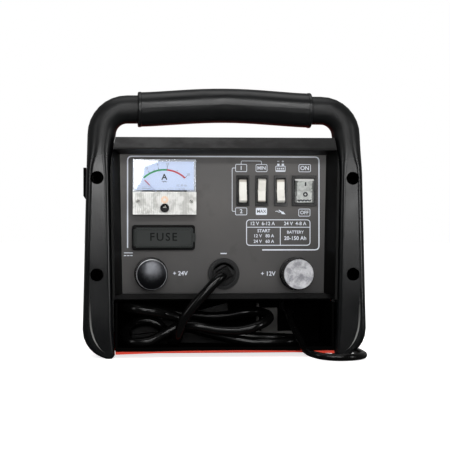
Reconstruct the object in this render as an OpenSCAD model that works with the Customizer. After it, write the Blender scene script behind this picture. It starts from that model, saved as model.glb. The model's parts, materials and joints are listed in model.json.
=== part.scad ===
// Car battery charger with start boost: arched front frame with a carry handle, recessed
// control panel over an open cable compartment, painted steel case.
// X is the width, -Y the front, +Z up; the floor is z = 0. Millimetres.

/* [Case] */
// Overall depth, front of the frame to the rear cover
body_d = 220; // [200:5:250]
// Outer width of the steel cover
case_w = 250; // [246:1:254]
// Height of the cover's top above the panel's top
case_rise = 11.4; // [8.4:0.5:13.4]
// Thickness of the steel sheet
sheet = 1.5; // [1:0.25:2]
// Outer radius of the cover's upper bends
case_bend = 10; // [6:1:16]
// Height of the base plate's underside above the floor
base_z = 5; // [4:0.5:6]
// Thickness of the rear cover
rear_t = 5; // [3:0.5:7]
// Number of ventilation slots on a side of the cover
vent_count = 6; // [3:1:8]
// Length of a ventilation slot
vent_l = 34; // [20:2:44]
// Width of a ventilation slot
vent_w = 3.5; // [2:0.5:5]
// Diameter of a rear rubber foot
foot_d = 20; // [14:1:26]

/* [Front frame] */
// Width over the columns at the handle
frame_top_w = 276; // [272:1:279]
// Width over the columns at the feet
frame_foot_w = 285.4; // [282:0.2:290]
// Depth of the columns
frame_d = 42; // [38:1:50]
// Diameter of the handle tube
tube_d = 28.5; // [26:0.5:30]
// Height of the handle tube's middle line above the panel's top, at its ends
handle_rise = 44.4; // [42.4:0.2:47.4]
// Rise of the handle tube at its middle
handle_bow = 4.4; // [2:0.2:6]
// Bend radius of the tube's middle line at the upper corners
bend_r = 25.5; // [22:0.5:28]
// Radius of the round lower corners
toe_r = 29; // [24:1:32]
// Radius of the columns' front edges
column_edge_r = 6; // [3:0.5:8]
// Distance between the columns' inner edges
frame_gap = 231; // [230:0.5:232]
// Diameter of the round screw wells
well_d = 13; // [11:0.5:14]
// Depth of the screw wells
well_depth = 15; // [10:1:18]
// Distance of the columns' screws outwards from the columns' middle
well_out = 1; // [0:0.2:1.4]
// Height of the lower screws
well_low = 83.5; // [75:0.5:95]
// Distance of the upper screws below the panel's top
well_drop = 24.6; // [18.6:0.5:34.6]

/* [Handle grip] */
// Length of the grip sleeve
grip_l = 174; // [150:2:184]
// Wall of the grip sleeve
grip_wall = 2.8; // [2:0.2:3.2]

/* [Control panel] */
// Depth of the recess in front of the panel
recess_d = 24; // [22:0.5:25]
// Visible width of the panel at its top
panel_w = 211; // [208:1:214]
// Visible width of the panel at its bottom
panel_bottom_w = 205.6; // [204:0.4:208]
// Height of the panel's lower edge
panel_z = 63.6; // [62:0.2:65]
// Visible height of the panel
panel_h = 141; // [140:0.5:142]
// Thickness of the panel plate
panel_t = 2.5; // [2:0.25:3]
// Height of the crossbar's top above the panel's top
crossbar_rise = 16; // [14.4:0.2:16.8]
// Height of the crossbar's front face
crossbar_h = 12.3; // [10:0.5:14]
// Height of the lip under the panel
lip_h = 5.6; // [4:0.2:7]

/* [Cable compartment] */
// Depth of the compartment, from the front of the frame
tray_d = 80; // [76:1:84]
// Wall of the storage tray
tray_wall = 2; // [1.5:0.25:2.5]
// Height of the tray's front lip above its floor
tray_lip = 2; // [1:0.5:3]
// Height of the clamp rests
rest_h = 32; // [20:1:40]
// Thickness of a clamp rest's bar
rest_t = 3; // [2:0.5:4]

/* [Ammeter] */
// Width of the meter
meter_w = 64; // [60:0.5:66]
// Height of the meter
meter_h = 56; // [52:0.5:58]
// Distance that the meter stands off the panel
meter_t = 11; // [10:0.5:13]
// Middle of the meter, across
meter_x = -60.6; // [-64:0.1:-56]
// Distance of the meter's middle below the panel's top
meter_drop = 33.1; // [31.6:0.5:35.6]
// Height of the ribbed lower cover
meter_band_h = 23; // [20:0.5:24]
// Length of the needle
needle_l = 28.4; // [24:0.2:29]
// Diameter of the meter's body behind the panel
meter_body_d = 50; // [44:1:52]
// Length of the meter's body behind the panel
meter_body_l = 28; // [26:1:34]

/* [Fuse holder] */
// Width of the fuse holder's flange
fuse_w = 64; // [60:0.5:66]
// Height of the fuse holder's flange
fuse_h = 25.6; // [24:0.2:27]
// Share of the free height between the terminals and the meter that is under the fuse holder
fuse_share = 0.4; // [0.2:0.05:0.6]
// Thickness of the fuse cover
fuse_cover_t = 4; // [3:0.25:5]

/* [Switches] */
// Width of a narrow switch's bezel
switch_w = 13.3; // [12.6:0.1:15]
// Height of the switch bezels
switch_h = 31; // [30:0.25:32]
// Distance of the switches' middle below the panel's top
switch_drop = 36.6; // [32.6:0.5:40.6]
// Middle of the three narrow switches, across
switch_x = 39; // [38:0.1:40]
// Distance between narrow switches
switch_pitch = 19.4; // [18:0.1:20]
// Width of the power switch's bezel
power_w = 25.3; // [24:0.1:26]
// Middle of the power switch, across
power_x = 82.6; // [82:0.1:84]
// Tilt of a rocker to each side
rocker_tilt = 11; // [8:0.5:12]

/* [Terminals] */
// Distance of each terminal from the middle
terminal_x = 74; // [70:0.5:78]
// Height of the terminals and of the lead's gland above the panel's lower edge
terminal_up = 19.9; // [18.4:0.5:24.4]
// Diameter of a terminal knob
knob_d = 31.5; // [28:0.5:34]
// Height of a terminal knob
knob_h = 15.5; // [12:0.5:16]
// Diameter of a terminal stud
stud_d = 8; // [6:0.5:10]
// Diameter of the lead's gland
gland_d = 32; // [28:0.5:36]

/* [Leads] */
// Diameter of the negative lead
lead_d = 10; // [8:0.5:10]
// Diameter of the mains lead
mains_d = 7; // [6:0.25:7]
// Number of loops in each layer of the mains coil
coil_loops = 2; // [2:1:3]
// Inner radius of the mains coil, at the middle of its first loop
coil_r = 31; // [30:0.5:34]
// Distance between loops that lie beside each other
coil_pitch = 7.5; // [7.5:0.1:8]

/* [Battery clamp] */
// Length of the clamp's jaws
jaw_l = 48; // [40:1:50]
// Length of the clamp's handles
handle_l = 55; // [50:1:56]
// Width of the clamp
clamp_w = 18; // [17:0.5:20]
// Diameter of the clamp's pin
clamp_pin_d = 4; // [3:0.25:4.5]

/* [Inside] */
// Width of the transformer core
core_w = 96; // [80:2:110]
// Height of the transformer core
core_h = 80; // [70:2:96]
// Thickness of the transformer's stack
core_d = 50; // [40:2:54]
// Length of the rectifier's heatsink
sink_l = 80; // [70:2:90]
// Height of the rectifier's heatsink
sink_h = 74; // [66:2:90]

/* [Fits] */
// Gap between parts that are fitted beside each other
gap = 0.3; // [0.2:0.05:0.4]
// Radial gap of a pin that turns
run = 0.06; // [0.03:0.01:0.1]

/* [Hidden] */

eps = 0.01;
front = -body_d / 2;
rear = body_d / 2;
panel_y = front + recess_d;
panel_back = panel_y + panel_t;
panel_top = panel_z + panel_h;
cover_front = panel_back;
cover_rear = rear - rear_t;
case_in = case_w / 2 - sheet;
base_top = base_z + sheet;
floor_z = base_top + tray_wall;
tray_back = front + tray_d;
tray_top = panel_z - lip_h - 0.1;
case_top = panel_top + case_rise;
crossbar_top = panel_top + crossbar_rise;
handle_z = panel_top + handle_rise;
well_high = panel_top - well_drop;
meter_z = panel_top - meter_drop;
switch_z = panel_top - switch_drop;
terminal_z = panel_z + terminal_up;
collar_d = knob_d + 2.5;
meter_low = meter_z - meter_h / 2;
terminals_high = terminal_z + collar_d / 2;
fuse_z = terminals_high + fuse_h / 2 + fuse_share * (meter_low - terminals_high - fuse_h);

// ---- outlines shared by the frame and what fits between its columns ----
foot_levels = [0, 0.6, 1.6, 3.4, 6, 10, 15, 21, toe_r];
shoulder_z = handle_z - bend_r;
column_levels = [for (drop = [163.5, 123.5, 83.5, 47.5, 39.5, 31.5, 23.5, 15.5, 8.5]) shoulder_z - drop];
shoulder_x = frame_top_w / 2 - tube_d / 2 - bend_r;
inner_foot = frame_gap / 2 - 3;
inner_bend_z = shoulder_z - 43.5;

// Half width outside the column at height z; the small lift flattens the foot's underside
function outer_x(z) =
    z < toe_r
        ? frame_foot_w / 2 - toe_r + sqrt(pow(toe_r, 2) - pow(toe_r - z - 0.5 * (1 - z / toe_r), 2))
        : frame_foot_w / 2 - (frame_foot_w - frame_top_w) / 2 * (z - toe_r) / (shoulder_z - toe_r);

// Half width between the columns at height z
function inner_x(z) =
    z < 4 ? inner_foot - 2 + pow(1 - z / 4, 2) * 3
    : z < toe_r ? inner_foot - 2 + 2 * (z - 4) / (toe_r - 4)
    : z < inner_bend_z ? inner_foot + (frame_gap / 2 - inner_foot) * (z - toe_r) / (inner_bend_z - toe_r)
    : frame_gap / 2 - (frame_gap / 2 - shoulder_x - bend_r + tube_d / 2)
        * pow((z - inner_bend_z) / (shoulder_z - inner_bend_z), 2);

// ---- tubes swept along points ----
function unit(v) = v / norm(v);
function side_of(t) = unit(cross(t, abs(t.z) < 0.9 ? [0, 0, 1] : [1, 0, 0]));
function heading(p, i) = unit(p[min(i + 1, len(p) - 1)] - p[max(i - 1, 0)]);
function carried(n, t) = unit(n - (n * t) * t);
function sides_along(p, t) = [
    for (i = 0, n = side_of(t[0]); i < len(p);
         i = i + 1, n = i < len(p) ? carried(n, t[i]) : n) n
];
function ring_points(c, n, t, r, sides) = [
    for (k = [0:sides - 1]) c + r * (cos(360 * k / sides) * n + sin(360 * k / sides) * cross(t, n))
];
function strip_faces(rings, sides) = concat(
    [for (i = [0:rings - 2], k = [0:sides - 1]) let (a = i * sides + k, b = i * sides + (k + 1) % sides)
        [a, b + sides, b]],
    [for (i = [0:rings - 2], k = [0:sides - 1]) let (a = i * sides + k, b = i * sides + (k + 1) % sides)
        [a, a + sides, b + sides]],
    [for (k = [1:sides - 2]) [0, k, k + 1]],
    [for (k = [1:sides - 2]) let (e = (rings - 1) * sides) [e, e + k + 1, e + k]]
);

// A tube along the points p; ends = [first heading, last heading] keeps its ends square
module swept(p, d, sides, ends = [undef, undef]) {
    last = len(p) - 1;
    t = [
        for (i = [0:last])
            i == 0 && !is_undef(ends[0]) ? ends[0]
            : i == last && !is_undef(ends[1]) ? ends[1]
            : heading(p, i)
    ];
    n = sides_along(p, t);
    points = [for (i = [0:last], q = ring_points(p[i], n[i], t[i], d / 2, sides)) q];
    polyhedron(points, strip_faces(last + 1, sides));
}

// Points on a smooth curve through p, n of them for each stretch
function spline_at(a, b, c, d, u) =
    0.5 * (2 * b + u * (c - a) + u * u * (2 * a - 5 * b + 4 * c - d) + u * u * u * (3 * b - a - 3 * c + d));
function smooth(p, n) = [
    for (i = [0:len(p) - 2], k = [0:n - 1])
        spline_at(p[max(i - 1, 0)], p[i], p[i + 1], p[min(i + 2, len(p) - 1)], k / n),
    p[len(p) - 1]
];

// Points whose Y is measured back from the frame's front, or from the rear
function from_front(p) = [for (q = p) [q.x, front + q.y, q.z]];
function from_rear(p) = [for (q = p) [q.x, rear + q.y, q.z]];

// Least distance between a tube's surface and itself, between points at least skip apart
function self_gap(p, d, skip) = min([
    for (i = [0:len(p) - 1 - skip]) min([for (j = [i + skip:len(p) - 1]) norm(p[i] - p[j])])
]) - d;

// ---- front frame ----
sides_of_frame = 28;

// One ring: middle c in X and Z, outward normal n, width w, from y0 to y1, edge radii rf and rb
function frame_ring(c, n, w, y0, y1, rf, rb) = [
    for (q = [[1, y0, rf, 0], [-1, y0, rf, 1], [-1, y1, rb, 2], [1, y1, rb, 3]], k = [0:6])
        let (
            r = min(q[2], w / 2 - 0.1, (y1 - y0) / 2 - 0.01),
            a = -90 * q[3] - 15 * k,
            u = q[0] * (w / 2 - r) + r * cos(a),
            y = (q[1] == y0 ? y0 + r : y1 - r) + r * sin(a)
        ) [c.x + n.x * u, y, c.y + n.y * u]
];
// How far the section at height z has turned from a column into a tube
function tube_share(z) = z < inner_bend_z ? 0 : (z - inner_bend_z) / (shoulder_z - inner_bend_z);
function column_ring(z, extra) =
    let (s = pow(sin(90 * tube_share(z)), 2), w = outer_x(z) - inner_x(z))
    frame_ring(
        [-(outer_x(z) + inner_x(z)) / 2, z], [-1, 0], w + extra * 2, front - extra,
        front + frame_d + s * (tube_d - frame_d) + extra,
        column_edge_r + s * (tube_d / 2 - column_edge_r) + extra, 1.5 + s * (tube_d / 2 - 1.5) + extra
    );
function handle_height(x) =
    handle_z + handle_bow * pow(max(0, 1 - pow(x / (shoulder_x - 6), 2)), 2);
function tube_ring(c, n, extra) =
    frame_ring(c, n, tube_d + 2 * extra, front - extra, front + tube_d + extra, tube_d, tube_d);
function handle_normal(x) =
    let (h = 0.5, slope = (handle_height(x + h) - handle_height(x - h)) / (2 * h)) unit([-slope, 1]);
function left_half(extra) = concat(
    [for (z = foot_levels) column_ring(z, extra)],
    [for (z = column_levels) column_ring(z, extra)],
    [for (a = [0:11.25:90]) tube_ring(
        [-shoulder_x - bend_r * cos(a), shoulder_z + bend_r * sin(a)], [-cos(a), sin(a)], extra)],
    [for (k = [1:7]) let (x = -shoulder_x * (1 - k / 8))
        tube_ring([x, handle_height(x)], handle_normal(x), extra)]
);
function mirrored(ring) = [
    for (q = ring) [-q.x, q.y, q.z]
];
module frame_sweep() {
    half = left_half(0);
    count = len(half);
    rings = concat(half, [tube_ring([0, handle_height(0)], [0, 1], 0)],
        [for (i = [1:count]) mirrored(half[count - i])]);
    polyhedron([for (r = rings, q = r) q], strip_faces(len(rings), sides_of_frame));
}
module at_wells(z_list) {
    for (s = [-1, 1], z = z_list)
        translate([s * ((outer_x(z) + inner_x(z)) / 2 + well_out), front, z]) rotate([90, 0, 0]) children();
}
module front_frame() {
    color("#1b1d20") difference() {
        frame_sweep();
        translate([-case_w / 2 - gap, cover_front - gap, -1])
            cube([case_w + 2 * gap, body_d, case_top + gap + 1]);
        at_wells([well_low, well_high]) {
            translate([0, 0, -well_depth]) cylinder(d = well_d, h = well_depth + 1, $fn = 48);
            translate([0, 0, -frame_d]) cylinder(d = screw_d + 0.4, h = frame_d, $fn = 32);
        }
    }
}
// The sleeve follows the tube's own middle line, a gap wider
grip_steps = 16;
module handle_sleeve(extra, l, steps) {
    x_list = [for (k = [0:steps]) -l / 2 + l * k / steps];
    rings = [for (x = x_list) tube_ring([x, handle_height(x)], handle_normal(x), extra)];
    polyhedron([for (r = rings, q = r) q], strip_faces(len(rings), sides_of_frame));
}
module handle_grip() {
    color("#232527") difference() {
        handle_sleeve(grip_wall + gap, grip_l, grip_steps);
        handle_sleeve(gap, grip_l + 4, grip_steps);
    }
}

// ---- bezel and panel ----
bezel_levels = concat([panel_z - lip_h], [for (z = column_levels) if (z > panel_z) z], [crossbar_top]);
bezel_front = front + 2;
function bezel_half(z) = inner_x(z) - gap;
module upright(y0, y1) {
    translate([0, y1, 0]) rotate([90, 0, 0]) linear_extrude(y1 - y0) children();
}
module bezel_opening() {
    f = bezel_front - eps;
    b = panel_y + eps;
    z0 = panel_z;
    w0 = panel_bottom_w / 2;
    w1 = panel_w / 2;
    v0 = inner_foot - 2;
    v1 = frame_gap / 2 - 2;
    z1 = crossbar_top - crossbar_h;
    corner = [[-v0, f, z0], [v0, f, z0], [v1, f, z1], [-v1, f, z1],
        [-w0, b, z0], [w0, b, z0], [w1, b, panel_top], [-w1, b, panel_top]];
    polyhedron(corner, [
        [0, 2, 1], [0, 3, 2], [4, 5, 6], [4, 6, 7], [0, 5, 4], [0, 1, 5],
        [1, 6, 5], [1, 2, 6], [2, 7, 6], [2, 3, 7], [3, 4, 7], [3, 0, 4]
    ]);
}
module front_bezel() {
    left = [for (z = bezel_levels) [-bezel_half(z), z]];
    right = [for (i = [len(bezel_levels) - 1:-1:0]) [bezel_half(bezel_levels[i]), bezel_levels[i]]];
    color("#202225") difference() {
        upright(bezel_front, panel_y) polygon(concat(left, right));
        bezel_opening();
        translate([-inner_foot + 2, bezel_front - 1, panel_z - lip_h - 1])
            cube([2 * inner_foot - 4, recess_d - 2 - 3 + 1, lip_h + 1 + eps]);
    }
}
panel_half = frame_gap / 2 - 6;
module on_panel(x, z) {
    translate([x, panel_y, z]) rotate([90, 0, 0]) children();
}
module block(size, z = 0) {
    translate([-size.x / 2, -size.y / 2, z]) cube(size);
}
module control_panel() {
    cut = panel_t + 2;
    color("#4c4a49") difference() {
        translate([-panel_half, panel_y, panel_z - lip_h])
            cube([2 * panel_half, panel_t, panel_h + lip_h + 3.5]);
        on_panel(meter_x, meter_z)
            translate([0, 0, -cut]) cylinder(d = meter_body_d + 1, h = cut + 1, $fn = 64);
        on_panel(meter_x, fuse_z) block([fuse_w - 3, fuse_h - 3, cut + 1], -cut);
        for (i = [-1:1]) on_panel(switch_x + i * switch_pitch, switch_z)
            block([switch_w - 1, switch_h - 3, cut + 1], -cut);
        on_panel(power_x, switch_z) block([power_w - 1, switch_h - 3, cut + 1], -cut);
        for (s = [-1, 1]) on_panel(s * terminal_x, terminal_z)
            translate([0, 0, -cut]) cylinder(d = collar_neck_d + 2 * gap, h = cut + 1, $fn = 48);
        on_panel(0, terminal_z)
            translate([0, 0, -cut]) cylinder(d = gland_neck_d + 2 * gap, h = cut + 1, $fn = 48);
    }
}

// ---- steel case ----
flange_w = 12;
screw_d = 4;
small_screw_d = 3;
side_screw_y = [front + 60, front + 120, rear - 30];
function rounded_top(w, h, r) = concat(
    [[-w / 2, 0], [w / 2, 0]],
    [for (a = [0:15:90]) [w / 2 - r + r * cos(a), h - r + r * sin(a)]],
    [for (a = [90:15:180]) [-w / 2 + r + r * cos(a), h - r + r * sin(a)]]
);
module cover_profile(inset) {
    translate([0, base_z - (inset > 0 ? 1 : 0)])
        polygon(rounded_top(case_w - 2 * inset, case_top - base_z - inset + (inset > 0 ? 1 : 0),
            max(case_bend - inset, 0.5)));
}
module steel_cover() {
    color("#b8321f") difference() {
        union() {
            difference() {
                upright(cover_front, cover_rear) cover_profile(0);
                upright(cover_front - 1, cover_rear + 1) cover_profile(sheet);
            }
            for (s = [-1, 1], y = [cover_front, cover_rear - sheet])
                translate([s > 0 ? case_in - flange_w + eps : -case_in - eps, y, 20])
                    cube([flange_w, sheet, case_top - 20 - case_bend]);
        }
        at_wells([well_low, well_high])
            translate([0, 0, -frame_d]) cylinder(d = screw_d + 0.4, h = frame_d, $fn = 32);
        at_rear_screws() cylinder(d = small_screw_d + 0.4, h = 20, center = true, $fn = 32);
        at_side_screws() cylinder(d = small_screw_d + 0.4, h = 20, center = true, $fn = 32);
        for (s = [-1, 1], k = [0:vent_count - 1])
            translate([s * case_w / 2 - 5, rear - 40 - vent_l, 70 + k * 3 * vent_w])
                cube([10, vent_l, vent_w]);
        for (s = [-1, 1], z = rest_posts) translate([s * case_in - 5, rest_y, z]) rotate([0, 90, 0])
            cylinder(d = rest_post_d + 0.2, h = 10, $fn = 24);
    }
}
module at_rear_screws() {
    for (s = [-1, 1], z = [36, case_top - case_bend - 14])
        translate([s * (case_in - flange_w / 2), rear, z]) rotate([-90, 0, 0]) children();
}
module at_side_screws() {
    for (s = [-1, 1], y = side_screw_y)
        translate([s * case_w / 2, y, base_top + 7]) rotate([0, s * 90, 0]) children();
}
module base_plate() {
    inner = case_in - gap;
    front_half = frame_gap / 2 - 5.5;
    color("#c23a24") difference() {
        union() {
            translate([-inner, front + frame_d / 2 + 10, base_z])
                cube([2 * inner, cover_rear - front - frame_d / 2 - 10 - gap, sheet]);
            translate([-front_half, front + 4, base_z]) cube([2 * front_half, frame_d, sheet]);
            upright(front + 3, front + 4 + sheet) front_edge(front_half);
            for (s = [-1, 1]) translate([s > 0 ? inner - sheet : -inner, front + frame_d + 8, base_z])
                cube([sheet, cover_rear - front - frame_d - 12, 14]);
        }
        at_side_screws() cylinder(d = small_screw_d + 0.4, h = 20, center = true, $fn = 32);
    }
}
// The base's folded front edge: a strip that rises a little to the middle
edge_rise = 2;
function edge_z(x, w) = base_z - 1.1 + edge_rise * (1 - pow(x / w, 2));
module front_edge(w) {
    x_list = [for (k = [-8:8]) w * k / 8];
    polygon(concat([for (x = x_list) [x, edge_z(x, w)]],
        [for (i = [16:-1:0]) [x_list[i], edge_z(x_list[i], w) + sheet]]));
}
module rear_cover() {
    w = case_w - 2 * gap;
    color("#222426") difference() {
        upright(cover_rear, rear) translate([0, base_z])
            polygon(rounded_top(w, case_top - base_z, case_bend));
        for (s = [-1, 1], k = [0:7])
            translate([s * 48 - 32, cover_rear - 1, 60 + k * 14]) cube([64, rear_t + 2, 4]);
        at_rear_screws() cylinder(d = small_screw_d + 0.4, h = 20, center = true, $fn = 32);
    }
}
module storage_tray() {
    w = 2 * (frame_gap / 2 - 5.5);
    y0 = front + 4 + sheet;
    color("#0c0c0d") difference() {
        translate([-w / 2, y0, base_top]) cube([w, tray_back + tray_wall - y0, tray_top - base_top]);
        translate([-w / 2 + tray_wall, y0 + tray_wall, floor_z])
            cube([w - 2 * tray_wall, tray_back - y0 - tray_wall, tray_top - tray_wall - floor_z]);
        translate([-w / 2 + tray_wall, y0 - 1, floor_z + tray_lip])
            cube([w - 2 * tray_wall, tray_wall + 2, tray_top]);
        translate([-w / 2 - 1, y0 - 1, tray_top - tray_wall - 0.5]) cube([w + 2, panel_back - y0 + 1, 10]);
        translate([mains_x, tray_back - 1, mains_z]) rotate([-90, 0, 0])
            cylinder(d = gland_nose_d + 0.4, h = tray_wall + 2, $fn = 32);
    }
}
mains_x = 73;
mains_z = 48;
gland_nose_d = 13;
// A pressed plate on the tray's rear wall: upright plate, foot strip and a folded rib
module gland_plate() {
    plate_t = 2;
    color("#6b6a66") translate([46, tray_back - plate_t, 20]) {
        cube([17, plate_t, 25]);
        translate([-6, -3, -6]) cube([3, plate_t + 3, 36]);
        translate([-6, 0, -8]) cube([44, plate_t, 8 + eps]);
    }
}
rest_y = front + 58;
rest_post_d = 6;
rest_z = panel_top - 44.6;
rest_posts = [rest_z + 9, rest_z + rest_h - 8];
module clamp_rests() {
    x1 = frame_foot_w / 2;
    color("#141516") for (s = [-1, 1]) {
        upright(rest_y - 12, rest_y + 12) mirror([s < 0 ? 1 : 0, 0])
            polygon([
                [x1 - rest_t, rest_z + 3], [x1 - rest_t + 1, rest_z], [x1, rest_z + 3],
                [x1, rest_z + rest_h], [x1 - rest_t, rest_z + rest_h]
            ]);
        for (z = rest_posts) translate([s * (case_in - 4), rest_y, z]) rotate([0, s * 90, 0]) {
            cylinder(d = rest_post_d, h = x1 - rest_t - case_in + 4.5, $fn = 24);
            translate([0, 0, 4 + sheet]) cylinder(d = rest_post_d + 5, h = 3, $fn = 32);
            cylinder(d = rest_post_d + 4, h = 4, $fn = 32);
        }
    }
}
module rear_feet() {
    color("#101010") for (s = [-1, 1])
        translate([s * (case_w / 2 - 1.45 * foot_d), rear - 1.4 * foot_d, 0])
            cylinder(d = foot_d, h = base_z, $fn = 40);
}
module pan_screw(d, l, head_d, head_h) {
    translate([0, 0, -l]) cylinder(d = d, h = l + eps, $fn = 24);
    cylinder(d = head_d, h = head_h, $fn = 32);
}
module frame_screws() {
    color("#3a3a3a") at_wells([well_low, well_high])
        translate([0, 0, -well_depth]) pan_screw(screw_d, 16, 8.5, 3);
}
module case_screws() {
    color("#8a8a86") at_side_screws() pan_screw(small_screw_d, 6, 6, 1.8);
}
module rear_screws() {
    color("#8a8a86") at_rear_screws() pan_screw(small_screw_d, 10, 6, 1.8);
}

// ---- ammeter ----
pivot_up = -13.1;
meter_base_t = 4;
meter_wall = 1.5;
meter_split = -meter_h / 2 + meter_band_h;
meter_back = 2 - meter_body_l;
module at_meter() {
    on_panel(meter_x, meter_z) children();
}
module meter_housing() {
    color("#111214") at_meter() difference() {
        union() {
            block([meter_w, meter_h, meter_base_t]);
            translate([0, 0, -meter_body_l]) cylinder(d = meter_body_d, h = meter_body_l + eps, $fn = 64);
        }
        translate([0, 0, meter_back])
            cylinder(d = meter_body_d - 4, h = meter_base_t + 1 - meter_back, $fn = 64);
    }
}
module meter_dial() {
    h = meter_h - meter_band_h - 2 * meter_wall - 1;
    color("#c3d3ee") at_meter() difference() {
        translate([0, meter_split + meter_wall + h / 2 + 0.2, 0])
            block([meter_w - 2 * meter_wall - 1, h, 0.8], meter_base_t);
        translate([0, pivot_up, 0]) cylinder(d = 12, h = 20, $fn = 32);
    }
}
module meter_movement() {
    color("#3c3c3e") at_meter() difference() {
        translate([0, pivot_up + 2, 0]) {
            translate([0, 0, meter_back]) cylinder(d = 18, h = 3 - meter_back, $fn = 40);
            block([15, 15, 4 - meter_back], meter_back);
        }
        translate([0, pivot_up, 0]) cylinder(d = 1.6 + 2 * run, h = 10, $fn = 24);
    }
}
module meter_needle() {
    color("#c0282a") at_meter() translate([0, pivot_up, 0]) {
        translate([0, 0, 1]) cylinder(d = 1.6, h = 4, $fn = 24);
        translate([0, 0, 5.2]) cylinder(d = 4.5, h = 1.6, $fn = 32);
        translate([0, 0, 4.5]) cylinder(d = 3, h = 1, $fn = 32);
        rotate([0, 0, 135]) translate([0, -0.35, 5.6]) cube([needle_l, 0.7, 0.5]);
    }
}
module clear_shell(y0, y1) {
    depth = meter_t - meter_base_t;
    translate([0, (y0 + y1) / 2, meter_base_t]) difference() {
        block([meter_w, y1 - y0, depth]);
        block([meter_w - 2 * meter_wall, y1 - y0 - 2 * meter_wall, depth - meter_wall + 1], -1);
    }
}
// Room for the needle where the lens and the lower cover meet
module needle_slot() {
    translate([-meter_w / 2 + 4, meter_split - 4, meter_base_t - 1])
        cube([meter_w - 8, 8, meter_t - 2 - meter_base_t]);
}
module meter_lens() {
    color("#cfe0f5", 0.4) at_meter() difference() {
        clear_shell(meter_split, meter_h / 2);
        needle_slot();
    }
}
module meter_lower_cover() {
    color("#d5d5cf", 0.7) at_meter() difference() {
        clear_shell(-meter_h / 2, meter_split - 0.1);
        translate([0, adjuster_up, meter_base_t]) cylinder(d = 3 + 2 * run, h = meter_t, $fn = 32);
        for (s = [-1, 1]) translate([s * meter_screw_x, meter_screw_up, 0])
            cylinder(d = 2.2, h = meter_t + 1, $fn = 24);
        needle_slot();
    }
}
adjuster_up = -21.4;
meter_screw_x = meter_w / 2 - 5.2;
meter_screw_up = -14.8;
module zero_adjuster() {
    color("#17181a") at_meter() translate([0, adjuster_up, 0]) difference() {
        union() {
            translate([0, 0, meter_t - 4]) cylinder(d = 3, h = 4.5, $fn = 32);
            translate([0, 0, meter_t + 0.2]) cylinder(d = 9, h = 1.6, $fn = 40);
        }
        block([7, 1, 2], meter_t + 1.1);
    }
}
module meter_screws() {
    color("#9b9b97") at_meter() for (s = [-1, 1]) translate([s * meter_screw_x, meter_screw_up, meter_t])
        pan_screw(1.8, meter_t - meter_base_t, 4, 1);
}

// ---- fuse holder ----
fuse_flange_t = 2.5;
fuse_pin_d = 2;
fuse_axis_x = -fuse_w / 2 + 2.6;
fuse_axis_up = fuse_flange_t + 2.4;
module at_fuse() {
    on_panel(meter_x - 0.7, fuse_z) children();
}
module fuse_box() {
    depth = 24;
    color("#0f1011") at_fuse() difference() {
        union() {
            block([fuse_w, fuse_h, fuse_flange_t]);
            block([fuse_w - 5, fuse_h - 4, depth], -depth);
            for (s = [-1, 1]) translate([fuse_axis_x - 2, s * (fuse_h / 2 - 2.6) - 1.4, fuse_flange_t - eps])
                cube([3.6, 2.8, 4.4]);
        }
        block([fuse_w - 12, fuse_h - 8, depth + 10], -depth + 2);
        translate([fuse_axis_x, 0, fuse_axis_up]) rotate([90, 0, 0])
            cylinder(d = fuse_pin_d + 2 * run, h = fuse_h, center = true, $fn = 24);
        for (s = [-1, 1]) translate([s * 15, 0, -depth + 1]) cylinder(d = 3, h = 2, $fn = 24);
    }
}
module fuse_strip() {
    color("#b9b9b4") at_fuse() translate([0, 0, -22 + 3]) difference() {
        block([42, 9, 1.2]);
        for (s = [-1, 1]) translate([s * 15, 0, -1]) cylinder(d = 4.4, h = 4, $fn = 24);
        for (s = [-1, 1]) translate([0, s * 5.5, -1]) cylinder(d = 7, h = 4, $fn = 32);
    }
}
module fuse_screws() {
    color("#c9a94e") at_fuse() for (s = [-1, 1]) translate([s * 15, 0, -22]) {
        cylinder(d = 7, h = 3, $fn = 32);
        cylinder(d = 4, h = 5, $fn = 32);
        translate([0, 0, 4.2]) cylinder(d = 7.5, h = 2.6, $fn = 32);
    }
}
module fuse_cover() {
    knuckle = fuse_h - 9;
    lid_x = fuse_axis_x + 2.8;
    lid_w = fuse_w / 2 - 2.4 - lid_x;
    color("#3a3c3e") at_fuse() {
        translate([lid_x, -fuse_h / 2 + 2.5, fuse_flange_t + 0.4]) cube([lid_w, fuse_h - 5, fuse_cover_t]);
        translate([fuse_axis_x, -knuckle / 2, fuse_axis_up - 1]) cube([3, knuckle, 2]);
        translate([fuse_axis_x, 0, fuse_axis_up]) rotate([90, 0, 0]) {
            cylinder(d = 3.8, h = knuckle, center = true, $fn = 32);
            cylinder(d = fuse_pin_d, h = fuse_h - 3, center = true, $fn = 24);
        }
        translate([lid_x + lid_w - 0.5, -4.5, fuse_flange_t + 0.4]) cube([2.6, 9, 2.4]);
    }
}

// ---- rocker switches ----
bezel_t = 2;
rocker_pivot = -1.5;
rocker_r = 12.4;
rocker_pin_d = 2.4;
module switch_body(w, rocker_w) {
    pocket = rocker_w + 0.6;
    difference() {
        union() {
            block([w, switch_h, bezel_t]);
            block([w - 1.6, switch_h - 3.6, 22], -22);
            for (s = [-1, 0, 1]) translate([0, s * 8, 0]) block([0.8, 5, 30], -30);
        }
        block([pocket, 2 * rocker_r + 0.9, 22], -17);
        translate([0, 0, rocker_pivot]) rotate([0, 90, 0])
            cylinder(d = rocker_pin_d + 2 * run, h = w - 2.2, center = true, $fn = 32);
    }
}
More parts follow.
